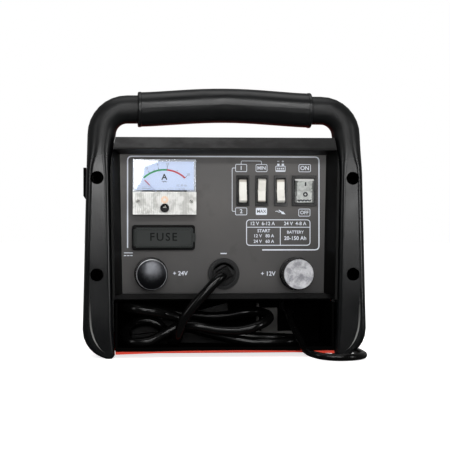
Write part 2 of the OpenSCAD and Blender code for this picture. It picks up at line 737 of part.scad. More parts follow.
// A rocker's side outline inside the circle that it sweeps: a shallow V above the pivot
module rocker(w, body_w, tilt) {
    face = 5.4;
    valley = 3.6;
    half = sqrt(pow(rocker_r, 2) - pow(face, 2));
    translate([0, 0, rocker_pivot]) rotate([tilt, 0, 0]) {
        rotate([90, 0, 90]) translate([0, 0, -w / 2]) linear_extrude(w)
            polygon(concat(
                [[-half, face], [0, valley], [half, face]],
                [for (a = [15:-5:-10]) [rocker_r * cos(a), rocker_r * sin(a)]],
                [[4, -6], [-4, -6]],
                [for (a = [190:-5:165]) [rocker_r * cos(a), rocker_r * sin(a)]]
            ));
        rotate([0, 90, 0]) cylinder(d = rocker_pin_d, h = body_w - 2.6, center = true, $fn = 32);
    }
}
narrow_rocker_w = switch_w - 4.3;
power_rocker_w = power_w - 5.9;
function narrow_x(i) = switch_x + i * switch_pitch;
module narrow_switch_bodies() {
    color("#141517") for (i = [-1:1]) on_panel(narrow_x(i), switch_z) switch_body(switch_w, narrow_rocker_w);
}
module voltage_rocker() {
    color("#efece2") on_panel(narrow_x(-1), switch_z) rocker(narrow_rocker_w, switch_w, -rocker_tilt);
}
module current_rocker() {
    color("#efece2") on_panel(narrow_x(0), switch_z) rocker(narrow_rocker_w, switch_w, rocker_tilt);
}
module mode_rocker() {
    color("#efece2") on_panel(narrow_x(1), switch_z) rocker(narrow_rocker_w, switch_w, -rocker_tilt);
}
module power_switch_body() {
    color("#101113") on_panel(power_x, switch_z) switch_body(power_w, power_rocker_w);
}
module power_rocker() {
    color("#8f9293") on_panel(power_x, switch_z) rocker(power_rocker_w, power_w, rocker_tilt);
}

// ---- screw terminals ----
collar_neck_d = 14;
collar_t = 4;
knob_lift = 0.5;
stud_out = 16;
stud_in = 22;
cap_t = 1.5;
module at_terminal(s) {
    on_panel(s * terminal_x, terminal_z) children();
}
module terminal_collars() {
    color("#0d0d0e") for (s = [-1, 1]) at_terminal(s) difference() {
        union() {
            cylinder(d = collar_d, h = collar_t, $fn = 64);
            translate([0, 0, -panel_t - 2]) cylinder(d = collar_neck_d, h = panel_t + 2 + eps, $fn = 48);
        }
        translate([0, 0, -10]) cylinder(d = stud_d + 0.2, h = 20, $fn = 48);
    }
}
module terminal_studs() {
    color("#c8a64a") for (s = [-1, 1]) at_terminal(s)
        translate([0, 0, -stud_in]) cylinder(d = stud_d, h = stud_in + stud_out, $fn = 48);
}
module terminal_nuts() {
    color("#c9b26a") for (s = [-1, 1]) at_terminal(s) translate([0, 0, -panel_t - 2 - 5]) difference() {
        cylinder(d = 2 * stud_d, h = 5, $fn = 6);
        translate([0, 0, -1]) cylinder(d = stud_d + 0.1, h = 7, $fn = 48);
    }
}
module knob_shape() {
    difference() {
        translate([0, 0, collar_t + knob_lift]) union() {
            cylinder(d = knob_d, h = knob_h, $fn = 64);
            for (k = [0:23]) rotate([0, 0, 15 * k]) translate([knob_d / 2 - 0.2, 0, 1.5])
                cylinder(d = 1.2, h = knob_h - 3, $fn = 16);
        }
        cylinder(d = stud_d + 2 * run, h = stud_out + 1, $fn = 48);
    }
}
module cap_shape() {
    translate([0, 0, collar_t + knob_lift + knob_h]) cylinder(d = knob_d - 1.5, h = cap_t, $fn = 64);
}
module knob_24v() {
    color("#161718") at_terminal(-1) knob_shape();
}
module knob_cap_24v() {
    color("#3b3d40") at_terminal(-1) cap_shape();
}
module knob_12v() {
    color("#161718") at_terminal(1) knob_shape();
}
module knob_cap_12v() {
    color("#b7b7ba") at_terminal(1) cap_shape();
}

// ---- negative lead ----
gland_neck_d = 20;
gland_t = 2.5;
relief_out = 12;
relief_turn = 30;
relief_w = 13;
relief_h = 12;
module lead_gland() {
    color("#3d3e3f") on_panel(0, terminal_z) difference() {
        union() {
            cylinder(d = gland_d, h = gland_t, $fn = 64);
            cylinder(d = gland_d * 0.72, h = gland_t + 0.8, $fn = 64);
            translate([0, 0, -panel_t - 3]) cylinder(d = gland_neck_d, h = panel_t + 3 + eps, $fn = 48);
        }
        rotate([0, 0, relief_turn]) block([relief_w + 0.2, relief_h + 0.2, 30], -15);
    }
}
module strain_relief() {
    color("#0b0b0c") on_panel(0, terminal_z) rotate([0, 0, relief_turn])
        block([relief_w, relief_h, relief_out + panel_t + 3], -panel_t - 3);
}
clamp_at = [-45, tray_back - 11.5, floor_z + 15.25];
clamp_lean = 6.6;
tail_low = 21.5;
tail_high = 10.5;
// Out of the gland, down into the compartment, three loops of slack, then into the clamp
lead_start = [0, panel_y - relief_out, terminal_z];
lead_end = clamp_at + [cos(clamp_lean), 0, sin(clamp_lean)] * handle_l
    + [sin(clamp_lean), 0, -cos(clamp_lean)] * (tail_low + tail_high) / 2;
lead_slack = from_front([
    [-2, 2, terminal_z - 0.5], [-9, -5.3, terminal_z - 5], [-26, -7, 60.5], [-42, -3, 40],
    [-47.5, 9, 21], [-50.5, 26, 14.2], [-54.5, 42, 18.5], [-64, 51.5, 29], [-79, 52.5, 33.5],
    [-94, 45.5, 29.5], [-101, 31, 22], [-94, 17, 15.5], [-77, 12, 16], [-59, 18.5, 24],
    [-44, 18.5, 30.5], [-28, 14, 31], [-7, 13, 27], [15, 13, 26.5], [34, 15.5, 31], [47.5, 29.5, 37.5],
    [43, 46, 42], [27, 53.5, 42], [-6, 53, 37.5], [-44, 53, 41.5], [-79, 52.5, 48], [-95, 45, 49.5],
    [-100.5, 29, 49.5], [-87, 14.5, 48], [-66, 15.5, 44.5], [-46, 27.2, 38], [-30, 29.5, 27],
    [22, 18, 15], [50, 17.5, 14.1], [72, 26.5, 14], [79, 45, 14], [71, 62.5, 14], [52, 68.3, 14.3]
]);
module negative_lead() {
    into_clamp = [-cos(clamp_lean), 0, -sin(clamp_lean)];
    route = concat([lead_start], lead_slack, [lead_end - lead_d * into_clamp, lead_end]);
    color("#141414") swept(smooth(route, 3), lead_d, 10, [[0, -1, 0], into_clamp]);
}

// ---- battery clamp ----
ear_r = 5.5;
ear_t = 1.5;
module at_clamp() {
    translate(clamp_at) rotate([0, -clamp_lean, 0]) children();
}
module side_plate(w) {
    translate([0, w / 2, 0]) rotate([90, 0, 0]) linear_extrude(w) children();
}
module clamp_half() {
    side_plate(clamp_w) polygon([
        [-jaw_l, -0.4], [-jaw_l, -8], [-jaw_l + 24, -12.5], [0, -14], [20, -16.5], [handle_l, -tail_low],
        [handle_l, -tail_high], [14, -5], [-12, -4], [-18, -0.4]
    ]);
}
module clamp_lower_jaw() {
    slot = clamp_w - 2 * ear_t - 0.8;
    color("#191919") at_clamp() difference() {
        union() {
            clamp_half();
            for (s = [-1, 1]) translate([0, s * (clamp_w / 2 - ear_t / 2), 0]) rotate([90, 0, 0])
                cylinder(r = ear_r, h = ear_t, center = true, $fn = 40);
        }
        rotate([90, 0, 0]) cylinder(r = ear_r + 3, h = slot, center = true, $fn = 48);
        rotate([90, 0, 0]) cylinder(d = clamp_pin_d + 0.1, h = clamp_w + 2, center = true, $fn = 32);
    }
}
module clamp_upper_jaw() {
    inner = clamp_w - 2 * ear_t - 1.6;
    color("#191919") at_clamp() difference() {
        union() {
            difference() {
                mirror([0, 0, 1]) clamp_half();
                for (s = [-1, 1]) translate([0, s * (clamp_w / 2), 0]) rotate([90, 0, 0])
                    cylinder(r = ear_r + 3, h = 2 * ear_t + 1.2, center = true, $fn = 48);
            }
            for (s = [-1, 1]) translate([0, s * (inner / 2 - ear_t / 2), 0]) rotate([90, 0, 0])
                cylinder(r = ear_r, h = ear_t, center = true, $fn = 40);
        }
        rotate([90, 0, 0]) cylinder(d = clamp_pin_d + 2 * run, h = clamp_w + 2, center = true, $fn = 32);
        rotate([90, 0, 0]) cylinder(r = ear_r + 1, h = inner - 2 * ear_t, center = true, $fn = 48);
    }
}
module clamp_pin() {
    color("#a8a8a4") at_clamp() rotate([90, 0, 0]) {
        cylinder(d = clamp_pin_d, h = clamp_w + 1, center = true, $fn = 32);
        for (s = [-1, 1]) translate([0, 0, s * (clamp_w / 2 + 1)])
            cylinder(d = clamp_pin_d + 3, h = 1.2, center = true, $fn = 32);
    }
}
spring_wire = 1.2;
spring_turns = 5;
spring_pitch = 1.8;
spring_rings = 8;
spring_r = clamp_pin_d / 2 + 0.4 + spring_wire / 2;
spring_points = [
    for (k = [0:spring_rings * spring_turns])
        let (u = k / spring_rings)
        [spring_r * cos(360 * u), spring_pitch * (u - spring_turns / 2), spring_r * sin(360 * u)]
];
module clamp_spring() {
    color("#9a9a96") at_clamp() swept(spring_points, spring_wire, 6);
}

// ---- mains lead ----
module mains_gland() {
    color("#1a1a1b") translate([mains_x, tray_back, mains_z]) rotate([90, 0, 0]) difference() {
        union() {
            cylinder(d = gland_nose_d + 2, h = 3, $fn = 40);
            translate([0, 0, -tray_wall - 3]) cylinder(d = gland_nose_d, h = tray_wall + 3 + 12, $fn = 40);
        }
        translate([0, 0, -10]) cylinder(d = mains_d + 0.4, h = 15, $fn = 32);
    }
}
// Out of the gland, over the lip to the floor, round the right foot's toe and back to the coil
mains_start = [mains_x, tray_back - 12, mains_z];
side_x = frame_foot_w / 2 - 5.7;
over_lip_x = mains_x + 3.5;
turn_r = (side_x - over_lip_x) / 2;
turn_heights = [11.3, 7.6, 5.2, 4.2, 4, 4, 4];
toe_turn = [
    for (k = [0:len(turn_heights) - 1]) let (a = 27 * k)
        [over_lip_x + turn_r * (1 - cos(a)), front - 8 - turn_r * sin(a), turn_heights[k]]
];
mains_run = concat(
    from_front([
        [mains_x, 60, 47.5], [mains_x - 2.5, 46, 40.5], [mains_x - 1.5, 30, 30.5],
        [mains_x + 1.5, 13, 21], [over_lip_x - 0.3, 1, 15.3]
    ]),
    toe_turn,
    from_front([[side_x, -2, 4], [side_x, 20, 4], [side_x, 60, 4]]),
    from_rear([[side_x, -110, 4], [side_x, -60, 4], [side_x, -10, 3.8], [side_x, 30, 3.7]])
);
coil_bottom = mains_d / 2 + 0.1;
coil_rings = 24;
coil_turns = 2 * coil_loops + 0.5;
coil_outer_r = coil_r + coil_pitch * coil_turns / 2;
coil_start = [side_x, rear + 55, coil_bottom];
coil_at = coil_start + [-coil_outer_r, mains_d, 0];
layer_h = mains_d + 0.5;
// A spiral in, a climb over half a turn, and a spiral out again on top
function coil_point(u) =
    let (
        climb = 2 * min(max(u - coil_loops, 0), 0.5),
        r = coil_r + coil_pitch * abs(u - coil_turns / 2)
    ) coil_at + [r * cos(360 * u), r * sin(360 * u), climb * layer_h];
tail_r = 28;
tail_rise = 18.1 - coil_bottom - layer_h;
tail_mid = coil_at + [-coil_outer_r - tail_r, -4, layer_h];
tail_points = [
    for (a = [15:15:90])
        tail_mid + [tail_r * cos(a), -tail_r * sin(a), tail_rise * (1 - cos(2 * a)) / 2]
];
plug_entry = tail_mid + [-11, -tail_r, tail_rise];
coil_points = concat(
    [coil_start],
    [for (k = [0:coil_rings * coil_turns]) coil_point(k / coil_rings)],
    tail_points,
    [plug_entry]
);
module mains_lead() {
    route = concat([mains_start], mains_run, [coil_start]);
    color("#121212") swept(smooth(route, 3), mains_d, 8, [[0, -1, 0], [0, 1, 0]]);
}
module mains_coil() {
    color("#121212") swept(coil_points, mains_d, 6, [[0, 1, 0], [-1, 0, 0]]);
}
echo(least_gap_in_coil = self_gap(coil_points, mains_d, coil_rings / 2));
echo(least_gap_in_spring = self_gap(spring_points, spring_wire, spring_rings / 2));
plug_r = 18;
plug_l = 36;
pin_l = 19;
module mains_plug() {
    color("#151515") translate(plug_entry) rotate([0, -90, 0]) rotate_extrude($fn = 48)
        polygon([
            [0, 0], [5.5, 0], [6.5, 9], [9, 12], [plug_r - 3, 15], [plug_r - 0.5, 19], [plug_r - 0.5, 28],
            [plug_r, 29], [plug_r, plug_l - 1], [plug_r - 1, plug_l], [0, plug_l]
        ]);
}
module plug_pins() {
    color("#c9b26a") translate(plug_entry - [plug_l, 0, 0]) rotate([0, -90, 0]) for (s = [-1, 1])
        translate([0, s * 9.5, 0]) {
            cylinder(d = 4.8, h = pin_l - 2, $fn = 24);
            translate([0, 0, pin_l - 2]) cylinder(d1 = 4.8, d2 = 2.4, h = 2, $fn = 24);
        }
}

// ---- inside the case ----
core_at = [-18, tray_back + tray_wall + 50, base_top + 2];
limb = core_w / 6;
module transformer_core() {
    window = [limb, core_d + 2, core_h - 2 * limb];
    color("#5a5c60") translate(core_at) difference() {
        translate([-core_w / 2, -core_d / 2, 0]) cube([core_w, core_d, core_h]);
        for (s = [-1, 1]) translate([s * 1.5 * limb, 0, limb]) block(window);
        for (s = [-1, 1], z = [limb / 2, core_h - limb / 2]) translate([s * (core_w / 2 - limb / 2), 0, z])
            rotate([90, 0, 0]) cylinder(d = bolt_d + 0.3, h = core_d + 2, center = true, $fn = 24);
    }
}
bolt_d = 5;
module transformer_windings() {
    h = core_h - 2 * limb - 2 * gap;
    color("#a3602e") translate([core_at.x, core_at.y, core_at.z + limb + gap]) difference() {
        translate([-2 * limb + gap, -core_d / 2 - 12, 0]) cube([4 * limb - 2 * gap, core_d + 24, h]);
        translate([-limb - gap, -core_d / 2 - gap, -1]) cube([2 * limb + 2 * gap, core_d + 2 * gap, h + 2]);
    }
}
module transformer_bracket() {
    color("#8d8d88") for (s = [-1, 1]) translate([core_at.x, core_at.y + s * (core_d / 2 + 1), base_top]) {
        difference() {
            translate([-core_w / 2 - 4, -1, 0]) cube([core_w + 8, 2, limb + 2]);
            for (t = [-1, 1]) translate([t * (core_w / 2 - limb / 2), 0, 2 + limb / 2]) rotate([90, 0, 0])
                cylinder(d = bolt_d + 0.3, h = 6, center = true, $fn = 24);
        }
        translate([-core_w / 2 - 4, s > 0 ? 0 : -14, 0]) cube([core_w + 8, 14, 2]);
    }
    color("#8d8d88") translate([core_at.x, core_at.y, base_top]) block([core_w, core_d, 2]);
}
module transformer_bolts() {
    color("#9c9c98") for (s = [-1, 1], z = [limb / 2, core_h - limb / 2])
        translate([core_at.x + s * (core_w / 2 - limb / 2), core_at.y, core_at.z + z]) rotate([90, 0, 0]) {
            t = z < core_h / 2 ? 2 : 0;
            cylinder(d = bolt_d, h = core_d + 2 * t, center = true, $fn = 24);
            for (m = [-1, 1]) translate([0, 0, m * (core_d / 2 + t + 2)])
                cylinder(d = 9, h = 4, center = true, $fn = 6);
        }
}
sink_t = 5;
sink_fin = 22;
sink_at = [70, front + body_d / 2, base_top];
module rectifier_heatsink() {
    color("#a9abad") translate(sink_at) difference() {
        union() {
            cube([sink_t, sink_l, sink_h]);
            for (k = [0:9]) translate([sink_t - eps, 2 + k * sink_l / 10, 0]) cube([sink_fin, 2, sink_h]);
            translate([-14, 0, 0]) cube([14 + eps, sink_l, 3]);
        }
        for (k = diode_places) translate([-1, k.x, k.y]) rotate([0, 90, 0])
            cylinder(d = diode_stud_d + 0.2, h = sink_t + 2, $fn = 32);
    }
}
diode_stud_d = 6;
diode_places = [for (y = [0.25, 0.75], z = [0.32, 0.73]) [y * sink_l, z * sink_h]];
module rectifier_diodes() {
    color("#c0c0bc") translate(sink_at) for (k = diode_places) translate([0, k.x, k.y]) rotate([0, -90, 0]) {
        translate([0, 0, -sink_t]) cylinder(d = diode_stud_d, h = sink_t + 0.5, $fn = 32);
        cylinder(d = 13, h = 7, $fn = 40);
        cylinder(d = 3, h = 14, $fn = 24);
    }
}
module thermal_cutout() {
    color("#2b2b2b") translate([core_at.x, core_at.y, core_at.z + core_h]) {
        cylinder(d = 16, h = 8, $fn = 40);
        for (s = [-1, 1]) translate([s * 5 - 2.5, -0.4, 0]) cube([5, 0.8, 15]);
    }
}
busbar_l = 28;
module busbars() {
    color("#b0703c") for (s = [-1, 1]) at_terminal(s) translate([0, 0, -panel_t - 7 - 2]) {
        difference() {
            translate([-8, -10, 0]) cube([16, busbar_l, 2]);
            translate([0, 0, -1]) cylinder(d = stud_d + 0.2, h = 4, $fn = 32);
        }
    }
}
module supply_wires() {
    color("#3b5d96") for (s = [-1, 1]) translate([mains_x + s * 2, 0, 0]) {
        translate([0, tray_back + tray_wall + 3, mains_z]) rotate([-90, 0, 0])
            cylinder(d = 2.6, h = 8, $fn = 16);
        translate([0, tray_back + tray_wall + 11, mains_z]) sphere(d = 2.6, $fn = 16);
        translate([0, tray_back + tray_wall + 11, mains_z])
            cylinder(d = 2.6, h = switch_z - mains_z, $fn = 16);
        translate([0, tray_back + tray_wall + 11, switch_z]) sphere(d = 2.6, $fn = 16);
        translate([0, tray_back + tray_wall + 11, switch_z]) rotate([90, 0, 0])
            cylinder(d = 2.6, h = tray_back + tray_wall + 11 - panel_y - 22, $fn = 16);
    }
}

front_frame();
handle_grip();
front_bezel();
control_panel();
steel_cover();
base_plate();
rear_cover();
storage_tray();
gland_plate();
clamp_rests();
rear_feet();
frame_screws();
case_screws();
rear_screws();
meter_housing();
meter_dial();
meter_movement();
meter_needle();
meter_lens();
meter_lower_cover();
zero_adjuster();
meter_screws();
fuse_box();
fuse_strip();
fuse_screws();
fuse_cover();
narrow_switch_bodies();
voltage_rocker();
current_rocker();
mode_rocker();
power_switch_body();
power_rocker();
terminal_collars();
terminal_studs();
terminal_nuts();
knob_24v();
knob_cap_24v();
knob_12v();
knob_cap_12v();
lead_gland();
strain_relief();
negative_lead();
clamp_lower_jaw();
clamp_upper_jaw();
clamp_pin();
clamp_spring();
mains_gland();
mains_lead();
mains_coil();
mains_plug();
plug_pins();
transformer_core();
transformer_windings();
transformer_bracket();
transformer_bolts();
rectifier_heatsink();
rectifier_diodes();
thermal_cutout();
busbars();
supply_wires();
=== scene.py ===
"""Car battery charger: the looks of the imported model.

X is the width, -Y the front and Z up, as in the part's source. Lengths are written in
millimetres and become metres where a mesh is made. The camera, the lamps and the cords'
routes are in metres.
"""
import json
import math

import bmesh
import bpy
from mathutils import Matrix, Vector


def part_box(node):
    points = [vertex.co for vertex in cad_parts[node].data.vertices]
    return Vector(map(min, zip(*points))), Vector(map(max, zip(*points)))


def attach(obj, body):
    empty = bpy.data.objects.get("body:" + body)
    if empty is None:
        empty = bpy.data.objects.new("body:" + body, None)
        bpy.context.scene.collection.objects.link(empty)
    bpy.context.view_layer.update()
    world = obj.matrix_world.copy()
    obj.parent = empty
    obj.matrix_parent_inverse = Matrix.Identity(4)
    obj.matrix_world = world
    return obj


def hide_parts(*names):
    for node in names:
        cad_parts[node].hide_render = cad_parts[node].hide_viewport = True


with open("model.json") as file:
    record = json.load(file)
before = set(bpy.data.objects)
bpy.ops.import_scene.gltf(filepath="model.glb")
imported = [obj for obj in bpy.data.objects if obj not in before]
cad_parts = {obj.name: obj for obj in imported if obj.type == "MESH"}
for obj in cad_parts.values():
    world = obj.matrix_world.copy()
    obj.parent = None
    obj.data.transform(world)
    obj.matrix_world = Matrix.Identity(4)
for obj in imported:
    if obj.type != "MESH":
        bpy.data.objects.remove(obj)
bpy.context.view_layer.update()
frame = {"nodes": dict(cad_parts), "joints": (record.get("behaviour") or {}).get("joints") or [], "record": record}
MM = 0.001
MICRON = 0.000001
RECORD = frame["record"]
BODY_OF = {node: body for body, nodes in RECORD["behaviour"]["bodies"].items() for node in nodes}


# ---- places taken from the frame ----
def front_of(node):
    """The place along Y of a node's foremost point."""
    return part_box(node)[0].y / MM


def middle_of(node):
    """The middle of a node's box."""
    low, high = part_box(node)
    return (low + high) / 2 / MM


PIVOT_OF = {joint["child"]: Vector(joint["pos_m"]) / MM for joint in frame["joints"]}
PANEL_Y = front_of("control_panel")
FRAME_Y = front_of("front_frame")
DIAL_Y = front_of("meter_dial")
METER = middle_of("meter_housing")
NEEDLE_PIVOT = PIVOT_OF["meter_needle"]
POWER_ROCKER = PIVOT_OF["power_rocker"]
KNOB_24V = PIVOT_OF["knob_24v"]
KNOB_12V = PIVOT_OF["knob_12v"]


# ---- camera ----
CAMERA_AT = Vector((-0.120, -1.310, 0.133))
CAMERA_TURN = math.radians(4)
FOCAL = 96.6
SENSOR = 36.0
SIDE_SHIFT = 0.0781


def make_camera():
    data = bpy.data.cameras.new("camera")
    data.lens, data.sensor_width, data.shift_x = FOCAL, SENSOR, SIDE_SHIFT
    data.clip_start, data.clip_end = 0.05, 50
    camera = bpy.data.objects.new("camera", data)
    camera.location = CAMERA_AT
    camera.rotation_euler = (math.radians(90), 0, -CAMERA_TURN)
    bpy.context.collection.objects.link(camera)
    bpy.context.scene.camera = camera


make_camera()
bpy.context.scene.view_settings.view_transform = "Standard"


# ---- materials: values, nodes and finishes ----
def paint(code):
    """The linear colour of a six-digit code as it is seen on a screen."""
    shown = [int(code[i:i + 2], 16) / 255 for i in (1, 3, 5)]
    return (*[c / 12.92 if c <= 0.04045 else ((c + 0.055) / 1.055) ** 2.4 for c in shown], 1.0)


class Value:
    """One output of a node; arithmetic on it adds Math nodes."""

    def __init__(self, nodes, socket):
        self.nodes, self.socket = nodes, socket

    def math(self, operation, *others, swap=False):
        terms = (*others, self) if swap else (self, *others)
        return self.nodes.node("ShaderNodeMath", {"operation": operation}, dict(enumerate(terms)))

    def __add__(self, other):
        return self.math("ADD", other)

    def __sub__(self, other):
        return self.math("SUBTRACT", other)

    def __rsub__(self, other):
        return self.math("SUBTRACT", other, swap=True)

    def __mul__(self, other):
        return self.math("MULTIPLY", other)

    def __pow__(self, other):
        return self.math("POWER", other)

    __radd__, __rmul__ = __add__, __mul__

    def larger(self, other):
        return self.math("MAXIMUM", other)

    def step(self, low, high):
        """0 below low, 1 above high, and smooth between them."""
        settings = {"interpolation_type": "SMOOTHSTEP", "clamp": True}
        values = {"Value": self, "From Min": low, "From Max": high}
        return self.nodes.node("ShaderNodeMapRange", settings, values)


class Nodes:
    """A node tree, with the one method that adds a node to it."""

    def __init__(self, tree, coordinates):
        self.tree = tree
        self.place = self.node("ShaderNodeTexCoord", output=coordinates)

    def feed(self, socket, value):
        """Links a value to a socket, or sets the socket to a number or a colour code."""
        if isinstance(value, Value):
            self.tree.links.new(value.socket, socket)
        else:
            socket.default_value = paint(value) if isinstance(value, str) else value

    def node(self, kind, settings=(), values=(), output=0):
        """Adds a node: its type, its settings, then the values or links of its sockets."""
        new = self.tree.nodes.new(kind)
        for key, value in dict(settings).items():
            setattr(new, key, value)
        for key, value in dict(values).items():
            self.feed(new.inputs[key], value)
        return Value(self, new.outputs[output])

    def axis(self, letter):
        """One of the three coordinates."""
        return self.node("ShaderNodeSeparateXYZ", values={0: self.place}, output="XYZ".index(letter))

    def ray(self, kind):
        """1 for rays of one kind, such as Camera, and 0 for the others."""
        return self.node("ShaderNodeLightPath", output=f"Is {kind} Ray")

    def blend(self, amount, first, second):
        """A colour between two others."""
        values = {0: amount, 6: first, 7: second}
        return self.node("ShaderNodeMix", {"data_type": "RGBA"}, values, output=2)

    def either(self, amount, first, second):
        """A shader between two others."""
        return self.node("ShaderNodeMixShader", values={0: amount, 1: first, 2: second})


class Finish(Nodes):
    """A Principled material with the nodes that vary it over a surface."""

    def __init__(self, name, color, **fixed):
        self.material = bpy.data.materials.new(name)
        self.material.use_nodes = True
        super().__init__(self.material.node_tree, "Object")
        self.shader = self.tree.nodes["Principled BSDF"]
        self.color = color
        self.set(Base_Color=color, **fixed)

    def set(self, **values):
        """Feeds the shader's sockets, whose names have _ here for each space."""
        for key, value in values.items():
            self.feed(self.shader.inputs[key.replace("_", " ")], value)
        return self

    def tint(self, amount, color):
        """Lays a second colour over the present one, by an amount from 0 to 1."""
        self.color = self.blend(amount, self.color, color)
        return self.set(Base_Color=self.color)

    def noise(self, scale, detail, roughness=0.5, stretch=None):
        """Clouds of about 1 / scale metres, and smaller by stretch along each axis."""
        place = self.place
        if stretch:
            place = self.node("ShaderNodeMapping", values={"Vector": place, "Scale": stretch})
        values = {"Vector": place, "Scale": scale, "Detail": detail, "Roughness": roughness}
        return self.node("ShaderNodeTexNoise", values=values)

    def axis(self, letter):
        """The X, Y or Z coordinate over the object, in millimetres."""
        return super().axis(letter) * (1 / MM)

    def from_point(self, x, z):
        """Distance from a line along Y through x, z, in millimetres."""
        dx = self.axis("X") - x
        dz = self.axis("Z") - z
        return (dx * dx + dz * dz) ** 0.5

    def bump(self, height, depth):
        """Relief from a height of 0 to 1, by a depth in micrometres."""
        values = {"Height": height, "Distance": depth * MICRON}
        return self.set(Normal=self.node("ShaderNodeBump", values=values))


def moulded(name, color, roughness, grain, worn, shine=0.35, matte_above=None):
    """Fine-grained moulded plastic with a cloudy sheen, matte above a height where one is given."""
    finish = Finish(name, color, Specular_IOR_Level=shine)
    rough = (finish.noise(28, 3) - 0.5) * 0.22 + roughness
    if matte_above:
        rough = rough + finish.axis("Z").step(matte_above, matte_above + 34) * 0.24
    finish.set(Roughness=rough)
    finish.tint((finish.noise(60, 4) - 0.45) * 0.5, worn)
    return finish.bump(finish.noise(1600, 2), grain)


def polished(name, color, roughness, shine=0.4):
    """Smooth hard plastic with faint rubbing marks."""
    finish = Finish(name, color, Specular_IOR_Level=shine)
    wear_and_highlight = finish.noise(90, 4, stretch=(1, 1, 3))
    finish.set(Roughness=roughness + wear_and_highlight.step(0.5, 0.75) * 0.08)
    return finish.bump(finish.noise(150, 2), 10)


def enamel(name, color, dark, roughness=0.28):
    """Sprayed paint on sheet steel, with orange peel and a little unevenness."""
    finish = Finish(name, color)
    finish.tint(finish.noise(18, 4).step(0.35, 0.75) * 0.5, dark)
    finish.set(Roughness=roughness + finish.noise(45, 3) * 0.12)
    return finish.bump(finish.noise(900, 2), 30)


def metal(name, color, dark, roughness, grain=(1, 1, 1)):
    """Bare or plated metal with mottling and fine scratches."""
    finish = Finish(name, color, Metallic=1.0)
    finish.tint(finish.noise(140, 5, 0.6).step(0.35, 0.7), dark)
    finish.set(Roughness=roughness + finish.noise(400, 3, stretch=grain) * 0.2)
    return finish.bump(finish.noise(700, 2, stretch=grain), 30)


def inked(name, color):
    """Printing ink, slightly uneven."""
    finish = Finish(name, color)
    return finish.set(Roughness=0.5 + (finish.noise(500, 2) - 0.5) * 0.1)


def cover_finish():
    """Red enamel, black on the cover's front edge."""
    finish = enamel("cover_paint", "#b8301e", "#9c2818")
    return finish.tint(1 - finish.axis("Y").step(-82.1, -81.9), "#060606")


def bezel_finish():
    """Black moulding whose raised crossbar has a painted sheen, mottled and fading towards its right."""
    finish = moulded("bezel_plastic", "#060606", 0.4, 24, "#0b0b0b", 0.14)
    mottle = finish.noise(34, 5, 0.6, (1, 1, 3)).step(0.35, 0.7)
    # Painted sheen on the crossbar, weaker above it and fading towards the right where less light reaches.
    bar = finish.axis("Z").step(209.8, 210.4) * (1 - finish.axis("Z").step(222.2, 222.8) * 0.7)
    bar = bar * (1 - finish.axis("X").step(20, 110) * 0.75)
    return finish.tint(bar, finish.blend(mottle, "#212020", "#373737"))


def crest_finish():
    """Frame moulding with a pale painted highlight along its crests towards the foot."""
    finish = moulded("painted_crest_highlight", "#0a0b0c", 0.3, 12, "#131415", 0.4)
    # Painted highlight: pale from just above the floor to about 60 mm up.
    wear_and_highlight = (1 - finish.axis("Z").step(16, 62)) * finish.axis("Z").step(2, 16)
    return finish.tint(wear_and_highlight, "#737371")


def panel_finish():
    """Grey painted plate with clouds and smudges, and painted shade that darkens it low down and most at its lower
    right.
    """
    finish = Finish("panel_paint", "#474544", Specular_IOR_Level=0.5)
    finish.tint(finish.noise(14, 4, 0.55).step(0.35, 0.7) * 0.6, "#53504e")
    finish.tint(finish.noise(55, 3).step(0.58, 0.75) * 0.4, "#343231")
    # Painted shade: darker below the middle, more so to the right, and darkest along the bottom.
    to_the_right = 0.5 + finish.axis("X").step(40, 110) * 0.35
    finish.tint((1 - finish.axis("Z").step(90, 180)) * to_the_right, "#242323")
    finish.tint((1 - finish.axis("Z").step(55, 85)) * 0.7, "#1a1919")
    finish.set(Roughness=0.42 + finish.noise(30, 3) * 0.15)
    return finish.bump(finish.noise(1500, 2), 40)


def cream_finish(name, sunk_end, shaded_from):
    """Cream plastic with painted shade at its sunk end and a near-black painted shadow beyond it: 1 is the top and
    -1 the foot.
    """
    finish = Finish(name, "#d9d7d0", Coat_Weight=0.2, Coat_Roughness=0.2)
    finish.tint(finish.noise(120, 3).step(0.5, 0.8) * 0.5, "#cdc9c0")
    out = (finish.axis("Z") - POWER_ROCKER.z) * sunk_end
    # Painted shade where the sunk end begins, then a near-black painted shadow at the very end.
    finish.tint(out.step(shaded_from, shaded_from + 1.2) * 0.75, "#8f8578")
    finish.tint(out.step(10.4, 11.4) * 0.93, "#151413")
    finish.set(Roughness=0.3 + finish.noise(200, 2) * 0.1)
    return finish.bump(finish.noise(500, 2), 30)


def smoked_finish():
    """Grey translucent rocker: dark where its core shows, with painted shade along its flanks and a painted
    highlight along its top.
    """
    finish = Finish("smoked_plastic", "#bdc0bd", Coat_Weight=0.2, Coat_Roughness=0.12)
    core = finish.noise(210, 5, 0.65).step(0.38, 0.62)
    finish.tint(core * 0.8, "#8c8f8c")
    # Painted shade along the flanks.
    across = (finish.axis("X") - POWER_ROCKER.x).math("ABSOLUTE") + (finish.noise(420, 3) - 0.5) * 4
    finish.tint(across.step(7.0, 8.2) * 0.85, "#2c2e2d")
    # Painted highlight along the top edge.
    finish.tint(finish.axis("Z").step(177.8, 178.6), "#f6f6f4")
    finish.set(Roughness=0.25 + core * 0.12)
    return finish.bump(finish.noise(300, 3), 80)


def silver_finish():
    """Worn plated disc, blotched from handling."""
    finish = Finish("silver_disc", "#bdbdc0", Metallic=0.55)
    blot = finish.noise(110, 6, 0.65)
    finish.tint(blot.step(0.42, 0.62), "#8b8b90")
    finish.tint(finish.noise(420, 4, 0.6).step(0.5, 0.7) * 0.4, "#d8d8dc")
    thumbed = 1 - finish.from_point(KNOB_12V.x + 2.4, KNOB_12V.z - 2.7).step(1, 5)
    finish.tint(thumbed * 0.6, "#707075")
    finish.set(Roughness=0.38 + blot * 0.2)
    return finish.bump(blot, 400)


